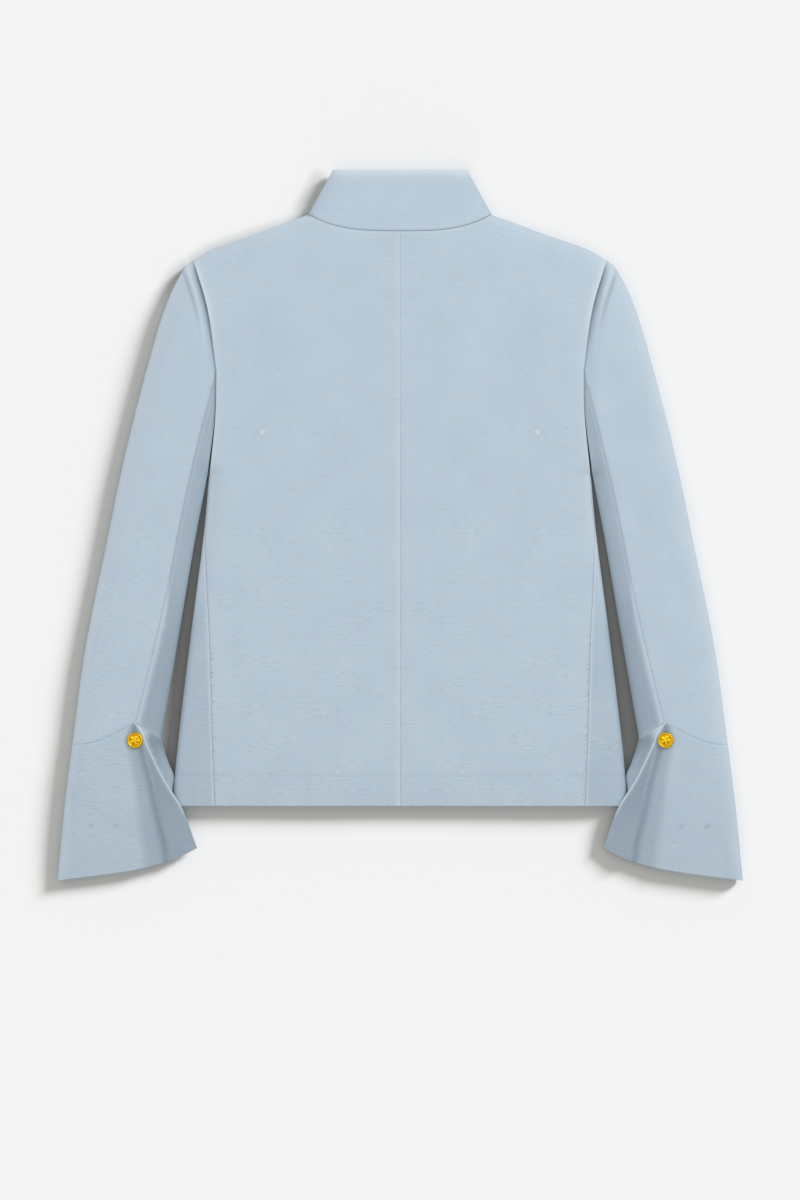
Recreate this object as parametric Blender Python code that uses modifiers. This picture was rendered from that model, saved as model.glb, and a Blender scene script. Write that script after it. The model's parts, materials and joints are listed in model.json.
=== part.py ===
"""Stand collar jacket laid flat on its front, with its back up.

The origin is on the surface under the middle of the jacket. +X points to the wearer's right,
+Y to the collar and +Z up. Sizes are in millimetres until a mesh is made from them. Every
panel is worked out for the right-hand side and mirrored for the left.
"""

from collections import namedtuple
import math

import bmesh
import bpy
from mathutils import Vector
import numpy as np

MM = 0.001

# Cloth and seams
WALL = 1.8
SEAM_GAP = 0.3
UNDERARM_EASE = 1.6

# Height of the outermost point of a fold, and how far a fold rounds off above and below it
FOLD = 5.2
FOLD_SPREAD = 2.1
UNDER_SPREAD = 9.0

# Levels along the body
HEM = -266.9
PlanRow = namedtuple("PlanRow", "across up")
UNDERARM = PlanRow(181.7, 48.1)
SHOULDER_TIP = PlanRow(196.6, 252.2)
NECK_POINT = PlanRow(87.4, 295.7)
FRONT_NOTCH = PlanRow(160.5, 105.0)
BACK_NECK = 279.5
FRONT_NECK = 211.0
BACK_NECK_SCOOP = 3.3
FRONT_NECK_SCOOP = 2.2
UNDERARM_SCOOP = 1.8
HINDARM_NOTCH = PlanRow(174.5, 146.2)

# Corners of the wrist and cuff
WRIST_OUTER = PlanRow(312.1, -209.0)
WRIST_INNER = PlanRow(227.4, -202.4)
VENT_HEAD = PlanRow(251.2, -187.1)
CUFF_CORNER = PlanRow(326.4, -338.0)
FLAP_TIP = PlanRow(193.1, -307.1)
UNDER_TIP = PlanRow(198.9, -306.2)

# Body sections from the hem to the underarm: the half width of the outline, and how far the
# side-back seam lies in from it on top
SIDE_SEAM_LEAST = 0.7
BodyRow = namedtuple("BodyRow", "up half_width back_in")
BODY_ROWS = (
    BodyRow(HEM, 216.9, 40.5),
    BodyRow(-204.0, 211.2, 32.5),
    BodyRow(-109.0, 199.8, 18.5),
    BodyRow(-4.3, 186.4, SIDE_SEAM_LEAST),
    BodyRow(48.1, 181.7, SIDE_SEAM_LEAST),
)
FRONT_SEAM_HEM = PlanRow(157.0, HEM)

# Height of the laid body along its middle
CrownRow = namedtuple("CrownRow", "up height")
CROWN_ROWS = (
    CrownRow(HEM, 10.0),
    CrownRow(-109.0, 13.0),
    CrownRow(48.1, 16.5),
    CrownRow(170.0, 17.5),
    CrownRow(300.0, 16.0),
)

# Plan points of the seams and edges, a row for each place where they bend
SHOULDER_ROWS = (
    NECK_POINT,
    PlanRow(141.7, 275.7),
    PlanRow(178.8, 262.6),
    SHOULDER_TIP,
)
BACK_ARMHOLE_UPPER = (
    SHOULDER_TIP,
    PlanRow(182.9, 205.2),
    HINDARM_NOTCH,
)
BACK_ARMHOLE_LOWER = (
    HINDARM_NOTCH,
    PlanRow(175.4, 105.0),
    PlanRow(UNDERARM.across - SIDE_SEAM_LEAST, UNDERARM.up),
)
FRONT_ARMHOLE_UPPER = (
    SHOULDER_TIP,
    PlanRow(178.5, 213.0),
    PlanRow(164.0, 160.0),
    FRONT_NOTCH,
)
SLEEVE_OUTER = (
    SHOULDER_TIP,
    PlanRow(205.4, 244.6),
    PlanRow(220.7, 214.8),
    PlanRow(236.0, 167.2),
    PlanRow(260.7, 71.9),
    PlanRow(280.7, -23.3),
    PlanRow(299.8, -118.6),
    WRIST_OUTER,
)
SLEEVE_UNDERARM = PlanRow(183.3, 47.2)
SLEEVE_ARMHOLE_LOWER = (
    HINDARM_NOTCH,
    PlanRow(175.8, 105.0),
    SLEEVE_UNDERARM,
)
SLEEVE_INNER = (
    SLEEVE_UNDERARM,
    PlanRow(195.0, -13.8),
    PlanRow(211.2, -109.0),
    WRIST_INNER,
)
HINDARM = (
    HINDARM_NOTCH,
    PlanRow(190.7, 86.2),
    PlanRow(208.3, 8.1),
    PlanRow(224.5, -75.7),
    VENT_HEAD,
)
FOREARM = (
    FRONT_NOTCH,
    PlanRow(188.0, 82.0),
    PlanRow(208.0, 28.0),
    PlanRow(243.0, -110.0),
    PlanRow(269.7, -205.7),
)
CUFF_SEAM = (
    WRIST_OUTER,
    PlanRow(295.0, -207.2),
    PlanRow(275.0, -200.0),
    VENT_HEAD,
)
CUFF_OUTER = (
    WRIST_OUTER,
    PlanRow(318.8, -261.4),
    CUFF_CORNER,
)
CUFF_HEM = (
    CUFF_CORNER,
    PlanRow(254.0, -328.1),
    PlanRow(216.9, -318.6),
    FLAP_TIP,
)
CUFF_VENT = (
    VENT_HEAD,
    PlanRow(244.7, -196.7),
    PlanRow(239.8, -209.0),
    PlanRow(223.6, -242.4),
    PlanRow(207.4, -269.0),
    FLAP_TIP,
)
CUFF_INNER_FOLD = (
    WRIST_INNER,
    PlanRow(224.2, -214.0),
    PlanRow(219.2, -228.1),
    PlanRow(215.2, -238.0),
    PlanRow(216.5, -252.0),
    PlanRow(217.8, -267.1),
    PlanRow(209.3, -290.0),
    UNDER_TIP,
)
CUFF_UNDER_HEM = (
    CUFF_CORNER,
    PlanRow(254.0, -327.5),
    UNDER_TIP,
)
CUFF_TAB_EDGE = (
    PlanRow(249.4, -188.6),
    PlanRow(240.0, -250.0),
    PlanRow(226.0, -316.0),
)

# Sleeve heights from the cap to the wrist
SleeveRow = namedtuple("SleeveRow", "share height")
SLEEVE_ROWS = (
    SleeveRow(0.0, 19.0),
    SleeveRow(0.25, 17.5),
    SleeveRow(0.65, 15.5),
    SleeveRow(1.0, 14.5),
)
CAP_DIP = 3.6
CAP_REACH = 15.0
CAP_EASE = 0.0015
HINDARM_SPREAD = 24.0

# Cuff heights: the upper flap, the turned-under tab, which falls from the wrist in a ramp, and the
# facet bent down along the vent; flap and tab go on falling to the hem
CUFF_HEIGHT = 15.6
CUFF_HEM_HEIGHT = 9.0
CUFF_FALL_START = 0.2
CUFF_FALL_POWER = 2.0
TAB_HEIGHT = 9.2
TAB_HEM_HEIGHT = 6.2
TAB_WRIST_HEIGHT = 13.2
TAB_RAMP = 0.3
TAB_SPREAD = 12.0
FACET_DROP = 2.0
FACET_WIDTH_TOP = 6.0
FACET_WIDTH_HEM = 24.0
FACET_START = 0.35
CUFF_EASE = 0.005

# Collar band
COLLAR_TOP = 338.0
COLLAR_TOP_HALF = 64.0
COLLAR_FRONT_TOP = 258.0
COLLAR_SEAM_HEIGHT = 16.0
COLLAR_TOP_HEIGHT = 15.0

# Cuff button
BUTTON_RADIUS = 7.6
BUTTON_CENTRE = PlanRow(252.1, -204.3)
BUTTON_STEPS = 24
BUTTON_MERGE = 0.01
ButtonRow = namedtuple("ButtonRow", "radius_share height")
BUTTON_ROWS = (
    ButtonRow(0.0, 2.9),
    ButtonRow(0.28, 2.7),
    ButtonRow(0.36, 2.2),
    ButtonRow(0.64, 1.9),
    ButtonRow(0.74, 2.6),
    ButtonRow(0.88, 2.6),
    ButtonRow(1.0, 1.6),
    ButtonRow(0.94, 0.5),
    ButtonRow(0.7, 0.0),
    ButtonRow(0.0, 0.0),
)

# Cells of each panel, named for the seam or edge that they divide
NECK_CELLS = 6
SHOULDER_CELLS = 6
BODY_CELLS = 10
ARMHOLE_UPPER_CELLS = 7
ARMHOLE_LOWER_CELLS = 5
FRONT_NECK_CELLS = 7
FRONT_SHOULDER_CELLS = 3
FRONT_ARMHOLE_CELLS = 7
FRONT_SIDE_CELLS = 4
SIDE_PANEL_CELLS = (4, 3, 2)
SLEEVE_CELLS = 14
UNDER_SLEEVE_CELLS = 4
CUFF_CELLS = 8
CUFF_UNDER_CELLS = 8
CUFF_TAB_CELLS = 4
COLLAR_CELLS = 5
CAP_CROWDING = 1.5
LINE_CELLS = 48

# A point of each panel, in shares across and along, where its outside faces up (1) or down (-1)
Facing = namedtuple("Facing", "across along up")
BACK_FACING = Facing(0.3, 0.3, 1)
SIDE_FACING = Facing(0.9, 0.3, -1)
FRONT_FACING = Facing(0.3, 0.3, -1)
SLEEVE_FACING = Facing(0.1, 0.5, 1)
CUFF_FACING = Facing(0.1, 0.5, 1)
COLLAR_FACING = Facing(0.5, 0.5, 1)

# Finishes: linear colour, roughness, metallic
CLOTH = ((0.48, 0.585, 0.665), 0.82, 0.0)
CLOTH_SHADE = ((0.41, 0.505, 0.59), 0.82, 0.0)
GOLD = ((0.62, 0.44, 0.13), 0.32, 1.0)

COLLECTION_NAME = "stand_collar_jacket"
STEP = 1e-5
SMOOTH_ANGLE = 50.0


def clear_scene():
    """Start from an empty file."""
    for scene_object in list(bpy.data.objects):
        bpy.data.objects.remove(scene_object, do_unlink=True)


def hermite(start, end, start_slope, end_slope, span, share):
    """Cubic between two values with given slopes, at a share of the span."""
    square = share * share
    cube = square * share
    return (
        start * (2 * cube - 3 * square + 1)
        + start_slope * (span * (cube - 2 * square + share))
        + end * (3 * square - 2 * cube)
        + end_slope * (span * (cube - square))
    )


def smooth_through(keys, values):
    """Function that runs smoothly through the values at the rising keys."""
    last = len(keys) - 1
    slopes = []
    for index in range(last + 1):
        before = max(index - 1, 0)
        after = min(index + 1, last)
        slopes.append((values[after] - values[before]) / (keys[after] - keys[before]))

    def value_at(key):
        index = 0
        while index < last - 1 and key > keys[index + 1]:
            index += 1
        span = keys[index + 1] - keys[index]
        share = (key - keys[index]) / span
        return hermite(values[index], values[index + 1], slopes[index], slopes[index + 1], span, share)

    return value_at


def column(rows, key_name, value_name):
    """Smooth function of one column of a table by another."""
    return smooth_through(
        [getattr(row, key_name) for row in rows],
        [getattr(row, value_name) for row in rows],
    )


def path(rows):
    """Smooth plan curve through the rows, from share 0 to share 1 of its length."""
    points = [np.array(row) for row in rows]
    reached = [0.0]
    for start, end in zip(points, points[1:]):
        reached.append(reached[-1] + np.linalg.norm(end - start))
    return smooth_through([length / reached[-1] for length in reached], points)


def joined(first, second, border):
    """Curve that follows the first path up to the border share, then the second."""

    def point_at(share):
        if share <= border:
            return first(share / border)
        return second((share - border) / (1.0 - border))

    return point_at


def backwards(curve):
    """The same curve run from its other end."""
    return lambda share: curve(1.0 - share)


def line(start, end):
    """Straight plan curve."""
    return lambda share: start + (end - start) * share


def patch(first_row, last_row, first_column, last_column):
    """Plan point inside four edge curves, at shares across and along."""
    corner_a = first_row(0.0)
    corner_b = first_row(1.0)
    corner_c = last_row(0.0)
    corner_d = last_row(1.0)

    def point_at(across, along):
        rows = first_row(across) * (1.0 - along) + last_row(across) * along
        columns = first_column(along) * (1.0 - across) + last_column(along) * across
        low = corner_a * (1.0 - across) + corner_b * across
        high = corner_c * (1.0 - across) + corner_d * across
        return rows + columns - low * (1.0 - along) - high * along

    return point_at


def samples(curve):
    """Points along a plan curve for measuring distances."""
    return [curve(index / LINE_CELLS) for index in range(LINE_CELLS + 1)]


def distance(points, place):
    """Distance in plan from a place to a line of points."""
    nearest = math.inf
    for start, end in zip(points, points[1:]):
        run = end - start
        share = max(0.0, min(1.0, (place - start).dot(run) / run.dot(run)))
        nearest = min(nearest, np.linalg.norm(place - start - run * share))
    return nearest


def rounded(inset, spread):
    """Rise of a rounded fold, from 0 at the fold to 1 at its full spread."""
    share = max(0.0, min(1.0, inset / spread))
    return math.sqrt(max(0.0, 1.0 - (1.0 - share) ** 2))


def unit(direction):
    """The direction at length 1."""
    return direction / np.linalg.norm(direction)


def over(place, height):
    """Point at a height over a plan point."""
    return np.array((place[0], place[1], height))


def soft(share):
    """Smooth ramp from 0 to 1."""
    share = max(0.0, min(1.0, share))
    return share * share * (3.0 - 2.0 * share)


half_width = column(BODY_ROWS, "up", "half_width")
seam_inset = column(BODY_ROWS, "up", "back_in")
crown = column(CROWN_ROWS, "up", "height")
shoulder_up = column(SHOULDER_ROWS, "across", "up")
sleeve_height = column(SLEEVE_ROWS, "share", "height")

back_armhole_upper = path(BACK_ARMHOLE_UPPER)
back_armhole_lower = path(BACK_ARMHOLE_LOWER)
sleeve_armhole_lower = path(SLEEVE_ARMHOLE_LOWER)
front_armhole_upper = path(FRONT_ARMHOLE_UPPER)
sleeve_outer = path(SLEEVE_OUTER)
sleeve_inner = path(SLEEVE_INNER)
hindarm = path(HINDARM)
forearm = path(FOREARM)
cuff_seam = path(CUFF_SEAM)
cuff_outer = path(CUFF_OUTER)
cuff_hem = path(CUFF_HEM)
cuff_vent = path(CUFF_VENT)
cuff_inner_fold = path(CUFF_INNER_FOLD)
cuff_under_hem = path(CUFF_UNDER_HEM)
cuff_tab_edge = path(CUFF_TAB_EDGE)

OUTER_LINE = samples(sleeve_outer)
INNER_LINE = samples(sleeve_inner)
ARMHOLE_LINE = samples(back_armhole_upper) + samples(back_armhole_lower)[1:]
CUFF_OUTER_LINE = samples(cuff_outer)
CUFF_FOLD_LINE = samples(cuff_inner_fold)
CUFF_VENT_LINE = samples(cuff_vent)


def back_in(up):
    """Inset of the side-back seam, which stays just on top of the fold above the waist."""
    return max(SIDE_SEAM_LEAST, seam_inset(up))


def side_reach(up):
    """Half width of the fold line beside a point, which runs out past the underarm."""
    if up <= UNDERARM.up:
        return half_width(up)
    return UNDERARM.across + (up - UNDERARM.up)


def fold_share(place, spread):
    """Rise of the body at a plan point, 0 on the side fold and the shoulder fold."""
    across, up = place
    on_shoulder = min(max(across, NECK_POINT.across), SHOULDER_TIP.across)
    slope = (NECK_POINT.up - SHOULDER_TIP.up) / (SHOULDER_TIP.across - NECK_POINT.across)
    shoulder_line = shoulder_up(on_shoulder) - (across - on_shoulder) * slope
    below_shoulder = (shoulder_line - up) / math.hypot(1.0, slope)
    return rounded(side_reach(up) - across, spread) * rounded(below_shoulder, spread)


def body_top(place):
    """Point on the back, over a plan point."""
    fold = FOLD + 0.5 * SEAM_GAP
    rise = crown(place[1]) - fold
    return over(place, fold + rise * fold_share(place, FOLD_SPREAD * rise))


def body_under(place):
    """Point on the underside of the body, over a plan point."""
    fold = FOLD - 0.5 * SEAM_GAP
    return over(place, fold * (1.0 - fold_share(place, UNDER_SPREAD)))


def underarm_up(inset):
    """Level of the armhole underneath at an inset, from the underarm to the front notch."""
    full = UNDERARM.across - FRONT_NOTCH.across
    rise = (FRONT_NOTCH.up - UNDERARM.up) * (inset / full) ** (1.0 / UNDERARM_SCOOP)
    return UNDERARM.up + rise


def sleeve_armhole_under(share):
    """Plan curve of the sleeve's armhole edge underneath, from the underarm to the front notch."""
    across = SLEEVE_UNDERARM.across
    up = SLEEVE_UNDERARM.up
    across += (FRONT_NOTCH.across - across) * share ** UNDERARM_SCOOP
    return np.array((across, up + (FRONT_NOTCH.up - up) * share))


def side_back_seam(share):
    """Plan curve of the side-back seam, from the hem to the underarm."""
    up = HEM + share * (UNDERARM.up - HEM)
    return np.array((half_width(up) - back_in(up), up))


def side_front_seam(share):
    """Plan curve of the side-front seam underneath, from the hem to the front notch."""
    return np.array(FRONT_SEAM_HEM) * (1.0 - share) + np.array(FRONT_NOTCH) * share


def shoulder(share):
    """Plan curve of the shoulder seam, from the neck point to the shoulder tip."""
    across = NECK_POINT.across + (SHOULDER_TIP.across - NECK_POINT.across) * share
    return np.array((across, shoulder_up(across)))


def back_neckline(share):
    """Plan curve of the back neck seam, from the centre back to the neck point."""
    across = NECK_POINT.across * share
    return np.array((across, BACK_NECK + (NECK_POINT.up - BACK_NECK) * share ** BACK_NECK_SCOOP))


def front_neckline(share):
    """Plan curve of the front neck seam, from the centre front to the neck point."""
    drop = NECK_POINT.up - FRONT_NECK
    return np.array((NECK_POINT.across * share, FRONT_NECK + drop * share ** FRONT_NECK_SCOOP))


def collar_front_edge(share):
    """Plan curve of the collar's front top edge, from the centre front to its side fold."""
    drop = COLLAR_TOP - COLLAR_FRONT_TOP
    return np.array((COLLAR_TOP_HALF * share, COLLAR_FRONT_TOP + drop * share ** FRONT_NECK_SCOOP))


def evenly(count):
    """Even shares from 0 to 1."""
    return [index / count for index in range(count + 1)]


def from_fold(count):
    """Shares from 0 to 1, close together by the fold at 0."""
    return [1.0 - math.cos(0.5 * math.pi * share) for share in evenly(count)]


def to_fold(count):
    """Shares from 0 to 1, close together by the fold at 1."""
    return [math.sin(0.5 * math.pi * share) for share in evenly(count)]


def between_folds(count):
    """Shares from 0 to 1, close together by the folds at both ends."""
    return [0.5 - 0.5 * math.cos(math.pi * share) for share in evenly(count)]


def chained(*runs):
    """Several runs of shares one after another, each as long as the next in the whole."""
    whole = [0.0]
    for index, run in enumerate(runs):
        whole += [(index + share) / len(runs) for share in run[1:]]
    return whole


def spans(*surfaces):
    """One surface from several that follow each other across, in equal shares."""
    count = len(surfaces)

    def point_at(across, along):
        index = min(int(across * count), count - 1)
        return surfaces[index](across * count - index, along)

    return point_at


def tangent(surface, across, along, by_column):
    """Direction of the surface across or along it."""
    if by_column:
        low = surface(max(0.0, across - STEP), along)
        high = surface(min(1.0, across + STEP), along)
    else:
        low = surface(across, max(0.0, along - STEP))
        high = surface(across, min(1.0, along + STEP))
    return unit(high - low)


def wall_points(surface, across, along, side):
    """Outer and inner point of the wall, cut half a seam gap small along its edges."""
    run_across = tangent(surface, across, along, True)
    run_along = tangent(surface, across, along, False)
    outward = unit(np.cross(run_across, run_along)) * side
    outer = surface(across, along)
    edges = ((across, run_across, run_along), (along, run_along, run_across))
    for share, run, edge in edges:
        if share in (0.0, 1.0):
            inward = unit(np.cross(outward, edge))
            if inward.dot(run) * (0.5 - share) < 0.0:
                inward = -inward
            outer = outer + inward * (0.5 * SEAM_GAP)
    return outer, outer - outward * WALL


def finish_material(name, finish):
    """Principled material with a finish's colour, roughness and metallic value."""
    colour, roughness, metallic = finish
    material = bpy.data.materials.new(name)
    material.use_nodes = True
    shader = material.node_tree.nodes["Principled BSDF"]
    shader.inputs["Base Color"].default_value = (*colour, 1.0)
    shader.inputs["Roughness"].default_value = roughness
    shader.inputs["Metallic"].default_value = metallic
    return material


def add_part(collection, name, mesh, finish):
    """Put a mesh in the jacket's collection as a named part with its own material."""
    mesh.materials.append(finish_material(f"{name}_finish", finish))
    part = bpy.data.objects.new(name, mesh)
    collection.objects.link(part)
    return part


def add_panel(collection, name, surface, stations, facing, finish=CLOTH, hand=1):
    """Cloth wall over a surface: a grid thickened inwards.

    The stations are the shares across and along at which it has points.
    """
    across_shares, along_shares = stations
    run_across = tangent(surface, facing.across, facing.along, True)
    run_along = tangent(surface, facing.across, facing.along, False)
    side = math.copysign(1.0, np.cross(run_across, run_along)[2]) * facing.up

    shape = bmesh.new()
    across_cells = len(across_shares) - 1
    along_cells = len(along_shares) - 1
    bmesh.ops.create_grid(shape, x_segments=across_cells, y_segments=along_cells, size=0.5)
    thickened = bmesh.ops.extrude_face_region(shape, geom=shape.faces[:])
    inner_verts = {item for item in thickened["geom"] if isinstance(item, bmesh.types.BMVert)}
    for vert in shape.verts:
        across = across_shares[round((vert.co.x + 0.5) * across_cells)]
        along = along_shares[round((vert.co.y + 0.5) * along_cells)]
        outer, inner = wall_points(surface, across, along, side)
        place = inner if vert in inner_verts else outer
        vert.co = Vector(place * (hand, 1, 1)) * MM
    if shape.calc_volume(signed=True) < 0.0:
        bmesh.ops.reverse_faces(shape, faces=shape.faces[:])
    mesh = bpy.data.meshes.new(name)
    shape.to_mesh(mesh)
    shape.free()
    mesh.shade_smooth()
    mesh.set_sharp_from_angle(angle=math.radians(SMOOTH_ANGLE))
    return add_part(collection, name, mesh, finish)


def add_back(collection, name, hand):
    """Back panel, from the centre back to the side-back seam, armhole and shoulder."""
    body_border = (UNDERARM.up - HEM) / (SHOULDER_TIP.up - HEM)
    hindarm_border = (back_armhole_lower(0.0)[1] - HEM) / (SHOULDER_TIP.up - HEM)
    neck_border = NECK_POINT.across / SHOULDER_TIP.across
    armhole_border = (hindarm_border - body_border) / (1.0 - body_border)
    armhole = joined(backwards(back_armhole_lower), backwards(back_armhole_upper), armhole_border)
    centre = np.array((0.0, HEM))
    plan = patch(
        line(centre, side_back_seam(0.0)),
        joined(back_neckline, shoulder, neck_border),
        line(centre, back_neckline(0.0)),
        joined(side_back_seam, armhole, body_border),
    )
    across = [share * neck_border for share in to_fold(NECK_CELLS)]
    across += [neck_border + share * (1.0 - neck_border) for share in to_fold(SHOULDER_CELLS)[1:]]
    along = [share * body_border for share in evenly(BODY_CELLS)]
    lower = hindarm_border - body_border
    along += [body_border + share * lower for share in from_fold(ARMHOLE_LOWER_CELLS)[1:]]
    upper = 1.0 - hindarm_border
    along += [hindarm_border + share * upper for share in to_fold(ARMHOLE_UPPER_CELLS)[1:]]
    add_panel(
        collection,
        name,
        lambda u, v: body_top(plan(u, v)),
        (across, along),
        BACK_FACING,
        hand=hand,
    )


def side_point(along, inset, height, top):
    """Point of the side panel at an inset from the fold, on a row that ends at the top level."""
    base = HEM + along * (UNDERARM.up - HEM)
    up = HEM + along * (top - UNDERARM_EASE - HEM)
    return np.array((half_width(base) - inset, up, height))


def side_top(across, along):
    """Side panel on top, from the side-back seam to the fold."""
    base = HEM + along * (UNDERARM.up - HEM)
    rise = crown(base) - FOLD
    spread = FOLD_SPREAD * rise
    start = math.acos(1.0 - min(1.0, back_in(base) / spread))
    angle = start * (1.0 - across)
    flat = max(0.0, back_in(base) - spread) * max(0.0, 1.0 - 2.0 * across)
    inset = flat + spread * (1.0 - math.cos(angle))
    return side_point(along, inset, FOLD + rise * math.sin(angle), UNDERARM.up)


def side_turn(across, along):
    """Side panel round the fold underneath."""
    angle = 0.5 * math.pi * across
    inset = UNDER_SPREAD * (1.0 - math.cos(angle))
    return side_point(along, inset, FOLD * (1.0 - math.sin(angle)), underarm_up(inset))


def side_under(across, along):
    """Side panel underneath, from the fold to the side-front seam."""
    base = HEM + along * (UNDERARM.up - HEM)
    full = half_width(base) - side_front_seam(along)[0]
    inset = UNDER_SPREAD + (full - UNDER_SPREAD) * across
    notch = UNDERARM.across - FRONT_NOTCH.across
    top = underarm_up(UNDER_SPREAD + (notch - UNDER_SPREAD) * across)
    return side_point(along, inset, 0.0, top)


def add_side(collection, name, hand):
    """Side panel, wrapped round the side fold."""
    surface = spans(side_top, side_turn, side_under)
    across = chained(*(evenly(count) for count in SIDE_PANEL_CELLS))
    stations = (across, evenly(BODY_CELLS))
    add_panel(collection, name, surface, stations, SIDE_FACING, CLOTH_SHADE, hand)


def add_front(collection, name, hand):
    """Front panel underneath, from the centre front to the side-front seam and armhole."""
    notch_border = (FRONT_NOTCH.up - HEM) / (SHOULDER_TIP.up - HEM)
    neck_border = NECK_POINT.across / SHOULDER_TIP.across
    centre = np.array((0.0, HEM))
    plan = patch(
        line(centre, side_front_seam(0.0)),
        joined(front_neckline, shoulder, neck_border),
        line(centre, front_neckline(0.0)),
        joined(side_front_seam, backwards(front_armhole_upper), notch_border),
    )
    across = [share * neck_border for share in to_fold(FRONT_NECK_CELLS)]
    across += [neck_border + share * (1.0 - neck_border) for share in evenly(FRONT_SHOULDER_CELLS)[1:]]
    along = [share * notch_border for share in evenly(FRONT_SIDE_CELLS)]
    upper = 1.0 - notch_border
    along += [notch_border + share * upper for share in to_fold(FRONT_ARMHOLE_CELLS)[1:]]
    add_panel(
        collection,
        name,
        lambda u, v: body_under(plan(u, v)),
        (across, along),
        FRONT_FACING,
        hand=hand,
    )


def sleeve_top(place, along):
    """Point on the sleeve's top, over a plan point at a share along the sleeve."""
    from_armhole = distance(ARMHOLE_LINE, place)
    height = sleeve_height(along) - CAP_DIP * (1.0 - soft(from_armhole / CAP_REACH))
    rise = height - FOLD
    share = rounded(distance(OUTER_LINE, place), FOLD_SPREAD * rise)
    share *= rounded(distance(INNER_LINE, place), HINDARM_SPREAD)
    return over(place, FOLD + rise * share)


def sleeve_under(place):
    """Point on the sleeve's underside, over a plan point."""
    share = rounded(distance(OUTER_LINE, place), UNDER_SPREAD)
    share *= rounded(distance(INNER_LINE, place), UNDER_SPREAD)
    return over(place, FOLD * (1.0 - share))


def sleeve_shares():
    """Shares along the sleeve, close together at the cap, from just clear of the armhole."""
    return [CAP_EASE + (1.0 - CAP_EASE) * share ** CAP_CROWDING for share in evenly(SLEEVE_CELLS)]


def add_upper_sleeve(collection, name, hand):
    """Upper sleeve, from the hindarm seam over the outer fold to the forearm seam."""
    wrist_under = line(cuff_seam(0.0), forearm(1.0))
    top = patch(back_armhole_upper, cuff_seam, sleeve_outer, hindarm)
    under = patch(front_armhole_upper, wrist_under, sleeve_outer, forearm)
    surface = spans(
        lambda u, v: sleeve_top(top(1.0 - u, v), v),
        lambda u, v: sleeve_under(under(u, v)),
    )
    across = chained(to_fold(ARMHOLE_UPPER_CELLS), from_fold(FRONT_ARMHOLE_CELLS))
    add_panel(collection, name, surface, (across, sleeve_shares()), SLEEVE_FACING, hand=hand)


def add_under_sleeve(collection, name, hand):
    """Under sleeve, from the hindarm seam over the inner fold to the forearm seam."""
    wrist = sleeve_inner(1.0)
    top = patch(sleeve_armhole_lower, line(hindarm(1.0), wrist), hindarm, sleeve_inner)
    under = patch(
        sleeve_armhole_under,
        line(wrist, forearm(1.0)),
        sleeve_inner,
        forearm,
    )
    surface = spans(
        lambda u, v: sleeve_top(top(u, v), v),
        lambda u, v: sleeve_under(under(u, v)),
    )
    across = chained(to_fold(ARMHOLE_LOWER_CELLS), from_fold(UNDER_SLEEVE_CELLS))
    add_panel(collection, name, surface, (across, sleeve_shares()), SLEEVE_FACING, CLOTH_SHADE, hand)


def cuff_fall(along):
    """How far the cuff has fallen from its wrist height to its hem height, at a share along it."""
    return max(0.0, (along - CUFF_FALL_START) / (1.0 - CUFF_FALL_START)) ** CUFF_FALL_POWER


def cuff_flap(place, along):
    """Point on the cuff's upper flap, bent down along the vent."""
    rise = CUFF_HEIGHT + (CUFF_HEM_HEIGHT - CUFF_HEIGHT) * cuff_fall(along) - FOLD
    height = FOLD + rise * rounded(distance(CUFF_OUTER_LINE, place), FOLD_SPREAD * rise)
    width = FACET_WIDTH_TOP + (FACET_WIDTH_HEM - FACET_WIDTH_TOP) * along
    facet = 1.0 - soft(distance(CUFF_VENT_LINE, place) / width)
    return over(place, height - FACET_DROP * facet * soft(along / FACET_START))


def cuff_under(place):
    """Point on the cuff's underside."""
    share = rounded(distance(CUFF_OUTER_LINE, place), UNDER_SPREAD)
    share *= rounded(distance(CUFF_FOLD_LINE, place), UNDER_SPREAD)
    return over(place, FOLD * (1.0 - share))


def cuff_tab(place, along):
    """Point on the tab that turns over the inner fold and falls from the wrist under the flap."""
    start = 1.0 - soft(along / TAB_RAMP)
    rise = TAB_HEIGHT + (TAB_WRIST_HEIGHT - TAB_HEIGHT) * start - FOLD
    rise += (TAB_HEM_HEIGHT - TAB_HEIGHT) * cuff_fall(along)
    spread = TAB_SPREAD + (HINDARM_SPREAD - TAB_SPREAD) * start
    return over(place, FOLD + rise * rounded(distance(CUFF_FOLD_LINE, place), spread))


def cuff_surface():
    """Cuff from the vent edge over the outer fold, underneath and over the inner fold."""
    wrist = cuff_inner_fold(0.0)
    flap = patch(cuff_seam, cuff_hem, cuff_outer, cuff_vent)
    under = patch(line(cuff_seam(0.0), wrist), cuff_under_hem, cuff_outer, cuff_inner_fold)
    tab = patch(
        line(wrist, cuff_tab_edge(0.0)),
        line(cuff_inner_fold(1.0), cuff_tab_edge(1.0)),
        cuff_inner_fold,
        cuff_tab_edge,
    )
    return spans(
        lambda u, v: cuff_flap(flap(1.0 - u, v), v),
        lambda u, v: cuff_under(under(u, v)),
        lambda u, v: cuff_tab(tab(u, v), v),
    )


def add_cuff(collection, name, hand):
    """Flared cuff in one wrap, open at the vent."""
    across = chained(
        to_fold(ARMHOLE_UPPER_CELLS),
        between_folds(CUFF_UNDER_CELLS),
        from_fold(CUFF_TAB_CELLS),
    )
    along = [CUFF_EASE + (1.0 - CUFF_EASE) * share for share in evenly(CUFF_CELLS)]
    add_panel(collection, name, cuff_surface(), (across, along), CUFF_FACING, hand=hand)


def collar_half_width(along):
    """Half width of the laid collar at a share of its height."""
    return NECK_POINT.across + (COLLAR_TOP_HALF - NECK_POINT.across) * along


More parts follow.
